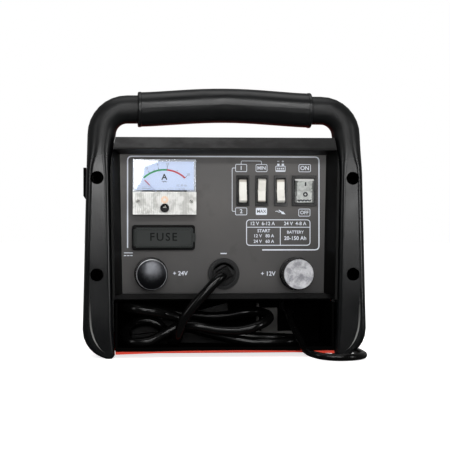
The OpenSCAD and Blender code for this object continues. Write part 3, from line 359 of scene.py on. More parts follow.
def dome_finish():
    """Dark chromed dome with a painted highlight above its middle and painted highlights round its rim, brightest
    at the upper left, with faint handling marks.
    """
    finish = Finish("dome_metal", "#626367", Metallic=0.9)
    worn = finish.noise(300, 4, 0.6)
    # Painted highlight: pale round a point above the middle, darker outwards.
    out = finish.from_point(KNOB_24V.x + 0.2, KNOB_24V.z + 5) + (worn - 0.5) * 6
    finish.tint(out.step(2, 14.2), "#1e1f22")
    # Painted highlights on the rim: weaker low down, white at the upper left.
    rim = finish.from_point(KNOB_24V.x, KNOB_24V.z).step(14.4, 14.8)
    lit = finish.axis("Z").step(70.6, 72.8) * 0.75 + 0.25
    bright = finish.axis("Z").step(90.5, 95.5) * (1 - finish.axis("X").step(-73, -66))
    finish.tint(rim * lit, finish.blend(bright, "#96989c", "#f6f7f9"))
    return finish.set(Roughness=0.3 + worn * 0.15)


def dial_finish():
    """Pale blue dial, a little cloudy."""
    finish = Finish("dial_paper", "#cbdbf9")
    finish.tint(finish.noise(40, 2) * 0.4, "#d9e4fb")
    return finish.set(Roughness=0.45 + finish.noise(200, 2) * 0.1)


def lens_finish():
    """Clear plastic: a mirror that lets through what it doesn't reflect."""
    finish = Finish("clear_lens", "#ffffff", Metallic=1.0)
    haze = finish.noise(60, 3).step(0.45, 0.75)
    return finish.set(Alpha=0.07 + haze * 0.01, Roughness=0.015 + haze * 0.01)


def ribbed_finish():
    """Silvery ribbed cover, the coil showing warm through it round the needle's pivot."""
    finish = Finish("ribbed_cover", "#d9d9d6", Metallic=0.1)
    cloud = finish.noise(110, 5, 0.65).step(0.42, 0.62)
    rib = (finish.axis("X") * 3.9).math("SINE")
    finish.tint(cloud * 0.7 + rib * 0.18, "#a2a29e")
    out = finish.from_point(NEEDLE_PIVOT.x, NEEDLE_PIVOT.z)
    ring = out.step(0.8, 2.2) * (1 - out.step(3.0, 4.4))
    finish.tint(ring * 0.75, "#e6bd9b")
    finish.set(Roughness=0.3 + cloud * 0.2)
    return finish.bump(finish.noise(500, 3), 100)


def needle_finish():
    """Red over the needle's outer end, pale along its stem."""
    finish = Finish("needle_paint", "#bcc6e0")
    finish.tint(finish.from_point(NEEDLE_PIVOT.x, NEEDLE_PIVOT.z).step(20.5, 21.5), "#cf3446")
    return finish.set(Roughness=0.4 + finish.noise(300, 2) * 0.1)


frame_plastic = moulded("frame_plastic", "#08090a", 0.22, 12, "#111213", 0.4, matte_above=190)
grip_rubber = moulded("grip_rubber", "#0d0e0f", 0.32, 24, "#151617", 0.4)
rear_plastic = moulded("rear_plastic", "#17181a", 0.5, 40, "#212325")
# The tray is black plastic, made darker and duller than the other mouldings as painted shade in its compartment.
tray_plastic = moulded("tray_plastic", "#030303", 0.72, 24, "#060606", 0.01)
rest_plastic = moulded("rest_plastic", "#060607", 0.6, 24, "#0b0b0c", 0.05)
gland_plastic = moulded("gland_plastic", "#121213", 0.42, 24, "#1f1f20", 0.25)
clamp_plastic = moulded("clamp_plastic", "#060606", 0.4, 32, "#0a0a0a", 0.15)
fuse_plastic = moulded("fuse_plastic", "#262928", 0.5, 48, "#363938", 0.25)
# Darker than the lid as painted shade on its moulded letters.
fuse_letter_shade = moulded("fuse_letter_shade", "#090a0a", 0.5, 24, "#161717", 0.1)
fuse_black = moulded("fuse_black", "#050505", 0.5, 24, "#0b0b0b", 0.12)
# Near-black without shine, as painted shade in the frame's deep wells.
pit_shade_black = moulded("pit_shade_black", "#010101", 0.8, 24, "#040404", 0.0)
foot_rubber = moulded("foot_rubber", "#0c0c0c", 0.7, 80, "#181818")
bezel_plastic = bezel_finish()
painted_crest_highlight = crest_finish()
black_gloss = polished("black_gloss", "#060607", 0.2)
switch_black = polished("switch_black", "#050506", 0.24, 0.26)
meter_plastic = polished("meter_plastic", "#b9bec6", 0.15)
knob_plastic = polished("knob_plastic", "#08090a", 0.25)
adjuster_plastic = polished("adjuster_plastic", "#0b0b0c", 0.12)
wire_blue = polished("wire_blue", "#2d4a80", 0.35)
lead_jacket = polished("lead_jacket", "#040404", 0.2, 0.26)
cream_top_sunk = cream_finish("cream_top_sunk", 1, 8.2)
cream_foot_sunk = cream_finish("cream_foot_sunk", -1, 9.2)
smoked_plastic = smoked_finish()
red_paint = enamel("red_paint", "#c8361f", "#ad2c1a")
cover_paint = cover_finish()
grey_steel = enamel("grey_steel", "#484744", "#383735", 0.45)
panel_paint = panel_finish()
zinc = metal("zinc", "#a6a6a2", "#7e7e79", 0.28)
brass = metal("brass", "#c7a44f", "#98762e", 0.25)
core_steel = metal("core_steel", "#6d6f72", "#44474b", 0.5, (1, 30, 1))
copper = metal("copper", "#b06a38", "#7a4322", 0.35, (1, 1, 40))
aluminium = metal("aluminium", "#b6b8ba", "#8d9093", 0.35)
silver_disc = silver_finish()
dome_metal = dome_finish()
print_ink = inked("print_ink", "#cdd2db")
print_dark = inked("print_dark", "#2c2b2b")
scale_green = inked("scale_green", "#2f9a5c")
scale_red = inked("scale_red", "#c23b48")
scale_black = inked("scale_black", "#16181e")
scale_grey = inked("scale_grey", "#8f97a8")
dial_paper = dial_finish()
clear_lens = lens_finish()
ribbed_cover = ribbed_finish()
needle_paint = needle_finish()


# ---- shapes made with mesh operators ----
def turn_about(axis, degrees):
    """A turn round one axis, anticlockwise seen from its positive end."""
    return Matrix.Rotation(math.radians(degrees), 4, axis)


AS_IS = Matrix.Identity(4)
TO_PANEL = turn_about("X", 90)


def arc(x, y, r, start, end, steps):
    """Points along an arc, with its ends in degrees."""
    angles = [math.radians(start + (end - start) * k / steps) for k in range(steps + 1)]
    return [(x + r * math.cos(a), y + r * math.sin(a)) for a in angles]


def rounded_outline(w, h, r, steps):
    """Points round a rectangle with rounded corners, anticlockwise from the right."""
    u, v = w / 2 - r, h / 2 - r
    corners = ((u, v), (-u, v), (-u, -v), (u, -v))
    return [point for k, (x, y) in enumerate(corners) for point in arc(x, y, r, 90 * k, 90 * k + 90, steps)]


def rounded_path(corners, r):
    """A path along corners with each inner corner rounded."""
    steps = 6
    path = [Vector(corners[0])]
    for before, corner, after in zip(corners, corners[1:], corners[2:]):
        corner = Vector(corner)
        start = corner + (Vector(before) - corner).normalized() * r
        end = corner + (Vector(after) - corner).normalized() * r
        for k in range(steps + 1):
            t = k / steps
            path.append(start * (1 - t) ** 2 + corner * 2 * t * (1 - t) + end * t ** 2)
    return path + [Vector(corners[-1])]


def sharp_edges(edges, least):
    """The edges whose two faces meet at more than a least angle, in degrees."""
    return [e for e in edges if len(e.link_faces) == 2 and e.calc_face_angle(0) > math.radians(least)]


def bevel(bm, edges, width, segments):
    """Rounds edges, where there are any and the width isn't 0."""
    if edges and width:
        bmesh.ops.bevel(bm, geom=edges, offset=width, segments=segments, profile=0.5, affect="EDGES",
                        clamp_overlap=True, material=-1)


class Shape:
    """A mesh in millimetres: local x to the right, y up and z out of the panel."""

    def __init__(self):
        self.bm = bmesh.new()

    def soften(self, verts, width, least=20):
        bevel(self.bm, sharp_edges({e for v in verts for e in v.link_edges}, least), width, 3)

    def box(self, size, at=(0, 0, 0), soft=0.0, place=AS_IS):
        sized = place @ Matrix.Translation(at) @ Matrix.Diagonal((*size, 1))
        made = bmesh.ops.create_cube(self.bm, size=1, matrix=sized)["verts"]
        self.soften(made, soft)
        return self

    def drum(self, r, h, at, soft, segments, turn):
        """A round body that starts at a point and is h long."""
        place = Matrix.Translation(at) @ turn @ Matrix.Translation((0, 0, h / 2))
        made = bmesh.ops.create_cone(self.bm, cap_ends=True, segments=segments, radius1=r, radius2=r,
                                     depth=h, matrix=place)["verts"]
        self.soften(made, soft, least=40)
        return self

    def turned(self, profile, at=(0, 0, 0), segments=72, turn=AS_IS):
        """A profile of radius and height spun round the local z axis."""
        before = set(self.bm.faces)
        verts = [self.bm.verts.new((r, 0, z)) for r, z in profile]
        edges = [self.bm.edges.new(pair) for pair in zip(verts, verts[1:])]
        bmesh.ops.spin(self.bm, geom=verts + edges, cent=(0, 0, 0), axis=(0, 0, 1), angle=math.tau,
                       steps=segments, use_merge=True)
        points = {v for f in self.bm.faces if f not in before for v in f.verts}
        bmesh.ops.remove_doubles(self.bm, verts=list(points), dist=1e-4)
        faces = [f for f in self.bm.faces if f not in before]
        bmesh.ops.recalc_face_normals(self.bm, faces=faces)
        points = list({v for f in faces for v in f.verts})
        bmesh.ops.transform(self.bm, matrix=Matrix.Translation(at) @ turn, verts=points)
        return self

    def prism(self, outline, depth, at=(0, 0, 0), soft=0.0, turn=AS_IS):
        """A flat outline raised by depth."""
        verts = [self.bm.verts.new((x, y, 0)) for x, y in outline]
        face = self.bm.faces.new(verts)
        grown = bmesh.ops.extrude_face_region(self.bm, geom=[face])["geom"]
        top = [v for v in grown if isinstance(v, bmesh.types.BMVert)]
        bmesh.ops.translate(self.bm, verts=top, vec=(0, 0, depth))
        both = verts + top
        faces = list({f for v in both for f in v.link_faces})
        bmesh.ops.recalc_face_normals(self.bm, faces=faces)
        bmesh.ops.transform(self.bm, matrix=Matrix.Translation(at) @ turn, verts=both)
        self.soften(both, soft)
        return self

    def flat(self, curve, place):
        """A curve or text made a mesh and put in place."""
        holder = bpy.data.objects.new("holder", curve)
        bpy.context.collection.objects.link(holder)
        bpy.context.view_layer.update()
        mesh = bpy.data.meshes.new_from_object(holder.evaluated_get(bpy.context.evaluated_depsgraph_get()))
        mesh.transform(place)
        self.bm.from_mesh(mesh)
        bpy.data.objects.remove(holder)
        bpy.data.curves.remove(curve)
        bpy.data.meshes.remove(mesh)
        return self

    def text(self, words, height, at, depth=0.08, bold=0.0, spread=1.0):
        """Words centred on a point, raised by depth."""
        curve = bpy.data.curves.new("words", "FONT")
        curve.body, curve.size, curve.space_character = words, height, spread
        curve.align_x, curve.align_y = "CENTER", "CENTER"
        curve.extrude, curve.offset, curve.resolution_u = depth / 2, bold, 3
        return self.flat(curve, Matrix.Translation((*at, depth / 2)))

    def line(self, points, width, closed=False, level=0.0, thick=0.12, thin_ends=0):
        """A flattened tube along points, thinner over thin_ends points at each end."""
        curve = bpy.data.curves.new("line", "CURVE")
        curve.dimensions, curve.bevel_depth, curve.bevel_resolution = "3D", width / 2, 2
        curve.use_fill_caps = not closed
        spline = curve.splines.new("POLY")
        spline.points.add(len(points) - 1)
        for k, (point, (x, y)) in enumerate(zip(spline.points, points)):
            point.co = (x, y, 0, 1)
            nearer_end = min(k, len(points) - 1 - k)
            point.radius = min(1, (nearer_end + 0.5) / (thin_ends + 0.5))
        spline.use_cyclic_u = closed
        flatten = Matrix.Diagonal((1, 1, thick / width * 2, 1))
        return self.flat(curve, Matrix.Translation((0, 0, level)) @ flatten)

    def placed(self, place):
        bmesh.ops.transform(self.bm, matrix=place, verts=self.bm.verts[:])
        return self


def make_piece(name, data, body, nodes):
    """Makes a piece that rides on a body and stands for the nodes that it replaces."""
    piece = bpy.data.objects.new(name, data)
    bpy.context.collection.objects.link(piece)
    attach(piece, body)
    if nodes:
        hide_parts(*nodes)
    return piece


def keep(name, mesh, finish, body, nodes, crease):
    """Gives a mesh its finish and its smooth and sharp edges, and makes it a piece."""
    for face in mesh.polygons:
        face.use_smooth = True
    mesh.set_sharp_from_angle(angle=math.radians(crease))
    mesh.materials.clear()
    mesh.materials.append(finish.material)
    piece = make_piece(name, mesh, body, nodes)
    weighted = piece.modifiers.new("flat_faces", "WEIGHTED_NORMAL")
    weighted.keep_sharp, weighted.weight = True, 80
    return piece


def add(name, shape, finish, body="case", nodes=(), place=AS_IS):
    """Places a shape, turns its millimetres into metres and keeps it."""
    shape.placed(Matrix.Scale(MM, 4) @ place)
    mesh = bpy.data.meshes.new(name)
    shape.bm.to_mesh(mesh)
    shape.bm.free()
    return keep(name, mesh, finish, body, nodes, crease=35)


def box_corners(bm):
    """The edges along Y at the corners of a solid's box."""
    sides = [(min(values), max(values)) for values in zip(*(v.co for v in bm.verts))]

    def cornered(vert):
        return all(min(abs(vert.co[k] - side) for side in sides[k]) < 1e-5 for k in (0, 2))

    def along_y(edge):
        return abs((edge.verts[0].co - edge.verts[1].co).normalized().y) > 0.99

    return [e for e in bm.edges if along_y(e) and all(cornered(v) for v in e.verts)]


def softened(node, width, finish, least=30, crease=40, segments=2, narrow=1.0, corner=0.0):
    """A copy of a node's solid with its edges rounded; narrow thins it along X, corner rounds its outline."""
    bm = bmesh.new()
    bm.from_mesh(frame["nodes"][node].data)
    if narrow < 1:
        middle = sum(v.co.x for v in bm.verts) / len(bm.verts)
        for vert in bm.verts:
            vert.co.x = middle + (vert.co.x - middle) * narrow
    bmesh.ops.remove_doubles(bm, verts=bm.verts, dist=2e-6)
    bmesh.ops.dissolve_limit(bm, angle_limit=math.radians(0.6), verts=bm.verts, edges=bm.edges)
    if corner:
        bevel(bm, box_corners(bm), corner * MM, 6)
    bevel(bm, sharp_edges(bm.edges, least), width * MM, segments)
    mesh = bpy.data.meshes.new(node + "_finished")
    bm.to_mesh(mesh)
    bm.free()
    return keep(mesh.name, mesh, finish, BODY_OF[node], (node,), crease)


def dress(finish, *nodes):
    """Gives nodes that stay as they are their finish."""
    for node in nodes:
        data = frame["nodes"][node].data
        data.materials.clear()
        data.materials.append(finish.material)


# ---- frame, grip and case ----
WELLS = ((128.5, 83.5), (128.3, 180.0))
SCREW_X = 128.3
SCREW_Y = front_of("frame_screws") - 0.05
GRIP_LIP = Vector((85.6, middle_of("handle_grip").y, 249.05))


def panel_place(x, z, y=PANEL_Y):
    """Where local x, y and z run along X, up Z and out towards the front."""
    return Matrix.Translation((x, y, z)) @ TO_PANEL


softened("front_frame", 1.1, frame_plastic, least=45, crease=45)
softened("handle_grip", 0.8, grip_rubber, least=45)
softened("front_bezel", 0.6, bezel_plastic)
softened("steel_cover", 0.3, cover_paint)
softened("base_plate", 0.3, red_paint)
softened("rear_cover", 0.6, rear_plastic)
softened("gland_plate", 0.4, grey_steel)
softened("clamp_rests", 0.6, rest_plastic)
softened("rear_feet", 1.2, foot_rubber)
dress(panel_paint, "control_panel")
dress(tray_plastic, "storage_tray")
# The frame's screws sit deep in their wells and take the near-black of painted shade.
dress(pit_shade_black, "frame_screws")
dress(zinc, "case_screws", "rear_screws")


def grip_lips():
    """Rolled lips at the sleeve's ends."""
    lips = Shape()
    rim = [(16.2, -2.0), (17.1, -1.9), (17.7, -1.2), (17.8, 0), (17.7, 1.2), (17.1, 1.9), (16.2, 2.0),
           (16.2, -2.0)]
    for side in (-1, 1):
        lips.turned(rim, (side * GRIP_LIP.x, GRIP_LIP.y, GRIP_LIP.z), turn=turn_about("Y", 90))
    add("grip_lips", lips, grip_rubber)


def screw_recesses():
    """Crossed slots in the heads of the frame's screws, near-black as painted shade."""
    slots = Shape()
    for _, z in WELLS:
        for side in (-1, 1):
            for degrees in (20, 110):
                place = panel_place(side * SCREW_X, z, SCREW_Y) @ turn_about("Z", degrees + z)
                slots.box((5.0, 1.0, 0.3), soft=0.1, place=place)
    add("screw_recesses", slots, pit_shade_black)


def well_linings():
    """Walls down to the screws in the frame's four wells, matt near-black as painted shade."""
    walls = Shape()
    wall = [(6.48, -0.2), (6.48, -14.9), (4.34, -14.9), (4.34, -14.3), (6.2, -14.1), (6.2, -0.2),
            (6.48, -0.2)]
    for x, z in WELLS:
        for side in (-1, 1):
            walls.turned(wall, (side * x, FRAME_Y, z), 48, TO_PANEL)
    add("well_linings", walls, pit_shade_black)


def foot_crests():
    """A soft crest where each foot's flat face meets its outer rounding."""
    crests = Shape()
    outer = [(135.6, 70), (135.5, 62), (135.4, 54), (135.2, 46), (134.9, 37.5), (134.0, 28.5), (130.9, 18.5),
             (126.0, 10.6), (119.8, 5.8)]
    for side in (-1, 1):
        crests.line(rounded_path([(side * x, z) for x, z in outer], 3.6), 1.7, thick=0.5, thin_ends=14)
    # Their pale finish is a painted highlight.
    add("foot_crests", crests, painted_crest_highlight, place=panel_place(0, 0, FRAME_Y))


grip_lips()
screw_recesses()
well_linings()
foot_crests()


# ---- printing on the panel ----
FINE = 0.6
LABELS = (  # x, z, width, height, word, size of the word
    (18.0, 191.1, 11.4, 7.4, "1", 5.8),
    (38.9, 191.1, 11.3, 7.4, "MIN", 4.9),
    (83.4, 191.1, 12.0, 7.4, "ON", 5.8),
    (18.0, 146.9, 11.6, 7.2, "2", 5.8),
    (83.0, 145.7, 11.6, 7.2, "OFF", 5.0),
)
DARK_LABEL = (38.8, 146.9)


class Printing(Shape):
    """Ink on the panel; x and z are the panel's own."""

    def stroke(self, corners, width=FINE, r=0.0):
        self.line(rounded_path(corners, r) if r else corners, width)

    def outline(self, x, z, w, h, width=FINE, r=1.0):
        self.line([(x + u, z + v) for u, v in rounded_outline(w, h, r, 3)], width, closed=True)

    def block(self, x, z, w, h, level=0.0):
        self.box((w, h, 0.06), (x, z, level))

    def words(self, text, x, z, size, bold):
        self.text(text, size, (x, z), bold=bold)


def switch_labels(ink):
    """Framed words above and below the switches, and the lines that tie them together."""
    for x, z, w, h, word, size in LABELS:
        ink.outline(x, z, w, h)
        ink.words(word, x, z - 0.1, size, 0.08)
    ink.stroke([(12.2, 191.1), (8.8, 191.1), (8.8, 146.9), (12.2, 146.9)], r=1.5)
    ink.stroke([(18.0, 194.9), (18.0, 198.3), (38.9, 198.3), (38.9, 194.9)], r=1.5)


def mode_signs(ink):
    """A battery above the mode switch, and the start ramp below it."""
    ink.outline(58.4, 190.4, 9.6, 5.4, r=0.5)
    ink.block(58.4, 188.4, 8.8, 0.9)
    for x in (55.6, 57.4, 59.3, 61.2):
        ink.block(x, 190.6, 1.1, 1.7)
    for x in (56.2, 60.8):
        ink.block(x, 194.6, 2.3, 2.0, 0.03)
    ink.stroke([(55.1, 198.0), (57.1, 198.0)])
    ink.stroke([(59.9, 198.0), (61.9, 198.0)])
    ink.stroke([(60.9, 197.0), (60.9, 199.0)])
    ink.prism([(56.2, 148.2), (57.4, 148.4), (60.4, 146.4), (60.9, 147.0), (63.6, 143.9), (59.2, 144.3),
               (59.6, 145.0)], 0.06)
    ink.stroke([(53.2, 146.9), (55.0, 147.2), (56.0, 146.4), (57.6, 146.0)])


def rating_table(ink):
    ink.outline(56.2, 125.3, 65.3, 26.0, 0.8, 3.0)
    ink.stroke([(23.6, 130.7), (88.8, 130.7)], 0.7)
    ink.stroke([(58.2, 130.7), (58.2, 112.4)], 0.7)
    ink.words("12 V  6-12 A", 39.8, 134.4, 4.9, 0.07)
    ink.words("24 V  4-8 A", 73.4, 134.4, 4.9, 0.07)
    for z, line in ((127.0, "START"), (121.8, "12 V   80 A"), (116.2, "24 V   60 A")):
        ink.words(line, 41.2, z, 4.5, 0.06)
    ink.words("BATTERY", 73.6, 125.6, 4.2, 0.05)
    ink.words("20-150 Ah", 73.6, 119.4, 5.4, 0.09)


def terminal_marks(ink):
    """Polarity and voltage of the terminals, and the sign for direct current."""
    ink.stroke([(-3.2, 104.0), (3.2, 104.0)], 1.1)
    ink.words("+ 24V", -44.2, 83.7, 6.1, 0.1)
    ink.words("+ 12V", 45.6, 83.2, 6.1, 0.1)
    ink.stroke([(-101.3, 104.8), (-92.4, 104.8)], 0.8)
    for k in range(3):
        ink.stroke([(-101.3 + 3.2 * k, 102.0), (-99.0 + 3.2 * k, 102.0)], 0.8)


def printed_panel():
    """The line round the panel with all its signs, and one label in dark on white."""
    ink = Printing()
    ink.stroke([(39.6, 107.6), (98.1, 107.6), (98.1, 202.6), (-97.6, 202.6), (-97.6, 109.8)], 1.25, 4.5)
    switch_labels(ink)
    mode_signs(ink)
    rating_table(ink)
    terminal_marks(ink)
    add("panel_printing", ink, print_ink, place=panel_place(0, 0))
    x, z = DARK_LABEL
    filled = Shape().prism(rounded_outline(11.4, 7.2, 1.0, 4), 0.06)
    add("maximum_label", filled, print_ink, place=panel_place(x, z))
    word = Shape().text("MAX", 4.4, (0, -0.1), 0.06, 0.05)
    add("maximum_word", word, print_dark, place=panel_place(x, z, PANEL_Y - 0.05))


printed_panel()


# ---- ammeter ----
softened("meter_housing", 0.6, meter_plastic)
softened("meter_dial", 0.0, dial_paper)
softened("meter_lens", 0.9, clear_lens)
softened("meter_lower_cover", 0.5, ribbed_cover)
softened("meter_needle", 0.08, needle_paint)
softened("zero_adjuster", 0.35, adjuster_plastic)
dress(core_steel, "meter_movement")
dress(zinc, "meter_screws")

ARC_R = 30.4
TICKS = ((133, 33.0), (119, 33.0), (109, 32.4), (100.6, 33.4), (85, 35.0), (66, 32.8), (46.5, 33.0))
NUMBERS = ((119, 36.2, "3"), (100.6, 36.2, "6"), (85, 36.2, "10"), (46.5, 35.2, "20"))


def dial_printing():
    """Coloured ranges, ticks, numbers and the unit, centred on the needle's pivot."""
    pivot = panel_place(NEEDLE_PIVOT.x, NEEDLE_PIVOT.z, DIAL_Y)
    green = Shape().line(arc(0, 0, ARC_R, 85, 133, 20), 1.7, thick=0.1)
    red = Shape().line(arc(0, 0, ARC_R, 46.5, 85, 20), 1.7, thick=0.1)
    add("range_green", green, scale_green, place=pivot)
    add("range_red", red, scale_red, place=pivot)
    black, grey = Shape(), Shape()

    def at(degrees, r):
        return r * math.cos(math.radians(degrees)), r * math.sin(math.radians(degrees))

    for degrees, out in TICKS:
        black.line([at(degrees, 31.0), at(degrees, out)], 0.45)
    black.text("A", 8.6, (0, 22.9), bold=0.14)
    black.line([(-2.4 + 0.3 * k, 18.5 + 0.5 * math.sin(k / 8 * math.tau)) for k in range(17)], 0.5)
    for degrees, out, number in NUMBERS:
        grey.text(number, 3.4, at(degrees, out), bold=0.03)
    grey.text("AC 50 Hz", 2.6, (17.5, 14.5))
    grey.text("cl. 2.5", 2.6, (17.5, 11.0))
    grey.line([(-22.5, 13.0), (-18.0, 13.0)], 0.4)
    grey.line([(-22.5, 11.4), (-14.0, 11.4)], 0.4)
    add("dial_printing", black, scale_black, place=pivot)
    add("dial_numbers", grey, scale_grey, place=pivot)


def meter_ribs():
    """Fine upright ribs on the lower cover's face."""
    width, pitch, depth, base = 60.0, 2.0, 0.45, 0.3
    low, high = -26.5, -6.5
    steps = 6
    wave = [(-width / 2, base)]
    for k in range(int(width / pitch) * steps + 1):
        wave.append((-width / 2 + pitch * k / steps, depth * (math.cos(k / steps * math.tau) - 1) / 2))
    wave.append((wave[-1][0], base))
    ribs = Shape().prism(wave, high - low, turn=turn_about("X", -90))
    face = panel_place(METER.x, METER.z, front_of("meter_lower_cover"))
    add("meter_ribs", ribs, ribbed_cover, place=face @ Matrix.Translation((0, low, 0)))


def meter_slots():
    """Slots of the meter's two screws, and a painted glint on its zero adjuster: a bright metal mark where its
    slot catches the light.
    """
    screws = middle_of("meter_screws")
    slots = Shape()
    for side, degrees in ((-1, 25), (1, -50)):
        place = panel_place(screws.x + side * 26.8, screws.z, front_of("meter_screws") - 0.05)
        slots.box((3.4, 0.6, 0.2), soft=0.05, place=place @ turn_about("Z", degrees))
    add("meter_screw_slots", slots, scale_black)
    adjuster = PIVOT_OF["zero_adjuster"]
    # Painted glint on the adjuster's slot, in bright metal.
    slot = Shape().box((3.6, 0.7, 0.16), (0, 0.7, 0), 0.05).box((0.7, 1.8, 0.16), (0.5, 1.6, 0), 0.05)
    add("adjuster_glint", slot, zinc, "zero_adjuster",
        place=panel_place(adjuster.x, adjuster.z, front_of("zero_adjuster") - 0.02))


dial_printing()
meter_ribs()
meter_slots()


# ---- fuse holder ----
LID = Vector((-61.2, 0, 120.2))

softened("fuse_box", 0.6, fuse_black, corner=3.0)
dress(zinc, "fuse_strip")
dress(brass, "fuse_screws")


def fuse_lid():
    """The lid with its hinge barrel, pull tab, rim line and letters."""
    lid = Shape().prism(rounded_outline(59.4, 20.6, 2.4, 5), 3.9, (0, 0, 3.0), 0.9)
    lid.drum(1.8, 16.6, (-29.3, 8.3, 4.9), 0.3, 32, turn_about("X", 90))
    lid.box((3.2, 8.6, 2.6), (30.6, 0, 4.2), 0.7)
    lid.line(rounded_outline(55.8, 17.0, 1.6, 4), 0.7, closed=True, level=6.85, thick=0.5)
    add("fuse_lid", lid, fuse_plastic, "fuse_cover", ("fuse_cover",), panel_place(LID.x, LID.z))
    # The letters are moulded; their darker finish is painted shade.
    letters = Shape().text("FUSE", 11.4, (-0.4, 0.4), 0.12, 0.1, 1.22)
    add("fuse_letters", letters, fuse_letter_shade, "fuse_cover",
        place=panel_place(LID.x, LID.z, front_of("fuse_cover") + 0.02))


fuse_lid()


# ---- switches ----
NARROWING = 0.86
HALF_LENGTH = 11.16
HALF_RISE = 1.8
HALF_HEIGHT = 4.52
FACE_SLOPE = math.degrees(math.atan(HALF_RISE / HALF_LENGTH))
REST_TILT = {"voltage_rocker": -11, "current_rocker": 11, "mode_rocker": -11, "power_rocker": 11}

softened("narrow_switch_bodies", 0.45, black_gloss)
softened("power_switch_body", 0.5, switch_black)
softened("voltage_rocker", 0.55, cream_top_sunk, least=15, crease=50, narrow=NARROWING)
softened("current_rocker", 0.55, cream_foot_sunk, least=15, crease=50, narrow=NARROWING)
softened("mode_rocker", 0.55, cream_top_sunk, least=15, crease=50, narrow=NARROWING)
softened("power_rocker", 0.7, smoked_plastic, least=15, crease=50)


def rocker_face(rocker, half, along, across=0.0):
    """A place on a rocker's upper half, 1, or lower half, -1: along runs outwards, across to the right."""
    tilted = Matrix.Translation(PIVOT_OF[rocker]) @ TO_PANEL @ turn_about("X", REST_TILT[rocker])
    middle = Matrix.Translation((across, half * HALF_LENGTH / 2, HALF_HEIGHT))
    return tilted @ middle @ turn_about("X", half * FACE_SLOPE) @ Matrix.Translation((0, half * along, 0))


def power_marks():
    """Line and ring marks, and finger ridges with painted highlights between painted shadows, on the power rocker.
    """
    line = Shape().prism(rounded_outline(1.5, 4.2, 0.5, 3), 0.3)
    ring = Shape().line(arc(0, 1.4, 1.75, 0, 345, 23), 1.5, closed=True, thick=0.6)
    ridges, groove_shadows = Shape(), Shape()
    for k in range(3):
        # The ridges' pale finish is a painted highlight.
        ridges.box((1.3, 1.0, 0.6), (-3.5 + 3.5 * k, -0.5, 0.1), 0.2)
    for k in range(4):
        # The dark arcs are painted shadows between the ridges.
        groove_shadows.line(arc(-5.25 + 3.5 * k, 0.9, 1.35, 180, 360, 8), 1.35, level=0.3, thick=0.6)
    for name, shape, finish, half, along, across in (
            ("power_on_mark", line, scale_black, 1, 2.2, 0.8),
            ("power_off_mark", ring, scale_black, -1, -1.2, 1.2),
            ("power_ridges", ridges, print_ink, -1, 3.6, 0.0),
            ("power_groove_shadows", groove_shadows, scale_black, -1, 3.6, 0.0)):
        place = rocker_face("power_rocker", half, along, across)
        add(name, shape, finish, "power_rocker", place=place)


def narrow_ridges(rocker, finish):
    """Finger ridges near the raised end of a narrow rocker."""
    raised = 1 if REST_TILT[rocker] > 0 else -1
    ridges = Shape()
    for k in range(3):
        ridges.box((6.0, 0.6, 0.6), soft=0.22, place=rocker_face(rocker, raised, 1.6 + 1.2 * k))
    add(rocker + "_ridges", ridges, finish, rocker)


power_marks()
narrow_ridges("voltage_rocker", cream_top_sunk)
narrow_ridges("current_rocker", cream_foot_sunk)
narrow_ridges("mode_rocker", cream_top_sunk)


# ---- terminals ----
softened("terminal_collars", 0.8, black_gloss)
softened("knob_24v", 0.7, knob_plastic, least=50)
softened("knob_12v", 0.7, knob_plastic, least=50)
dress(brass, "terminal_studs", "terminal_nuts")


def knob_caps():
    """A dished dome on one knob and a flat worn disc on the other."""
    dome = [(0.0, 20.0), (15.3, 20.0), (15.3, 20.7), (15.1, 21.1), (14.8, 21.1), (14.6, 20.9), (14.2, 21.0),
            (13.4, 21.5), (12.0, 22.1), (10.0, 22.7), (7.5, 23.2), (5.0, 23.5), (2.5, 23.65), (0.0, 23.7)]
    disc = [(0.0, 20.0), (15.0, 20.0), (15.0, 21.1), (14.7, 21.45), (14.2, 21.5), (13.6, 21.2), (0.0, 21.2)]
    add("knob_dome", Shape().turned(dome), dome_metal, "knob_24v", ("knob_cap_24v",),
        panel_place(KNOB_24V.x, KNOB_24V.z))
    add("knob_disc", Shape().turned(disc), silver_disc, "knob_12v", ("knob_cap_12v",),
        panel_place(KNOB_12V.x, KNOB_12V.z))


knob_caps()


# ---- negative lead, its gland and the clamp ----
def lead_gland():
    """A stepped ring round the lead's opening, with the gland and the block that the lead leaves."""
    profile = [(8.9, 0.0), (16.0, 0.0), (16.0, 1.9), (15.4, 2.5), (13.6, 2.6), (13.1, 2.1), (12.4, 2.1),
               (11.9, 2.7), (11.5, 3.3), (8.9, 3.3), (8.9, 0.0)]
    gland = middle_of("lead_gland")
    add("gland_ring", Shape().turned(profile), gland_plastic,
        place=panel_place(gland.x, gland.z))
    softened("lead_gland", 0.3, gland_plastic)
    softened("strain_relief", 1.2, fuse_black, segments=3)


lead_gland()


def cord_curve(name, points, diameter, finish, nodes=(), radii=None):
    """A cord on the case: one smooth open curve of a round section."""
    curve = bpy.data.curves.new(name, "CURVE")
    curve.dimensions, curve.resolution_u = "3D", 5
    curve.bevel_depth, curve.bevel_resolution, curve.use_fill_caps = diameter / 2, 4, True
    spline = curve.splines.new("BEZIER")
    spline.bezier_points.add(len(points) - 1)
    path = [Vector(p) for p in points]
    for k, (point, at) in enumerate(zip(spline.bezier_points, path)):
        reach = (path[min(k + 1, len(path) - 1)] - path[max(k - 1, 0)]) / 6
        point.handle_left_type = point.handle_right_type = "FREE"
        point.co, point.handle_left, point.handle_right = at, at - reach, at + reach
        point.radius = radii[k] if radii else 1.0
    curve.materials.append(finish.material)
    return make_piece(name, curve, "case", nodes)


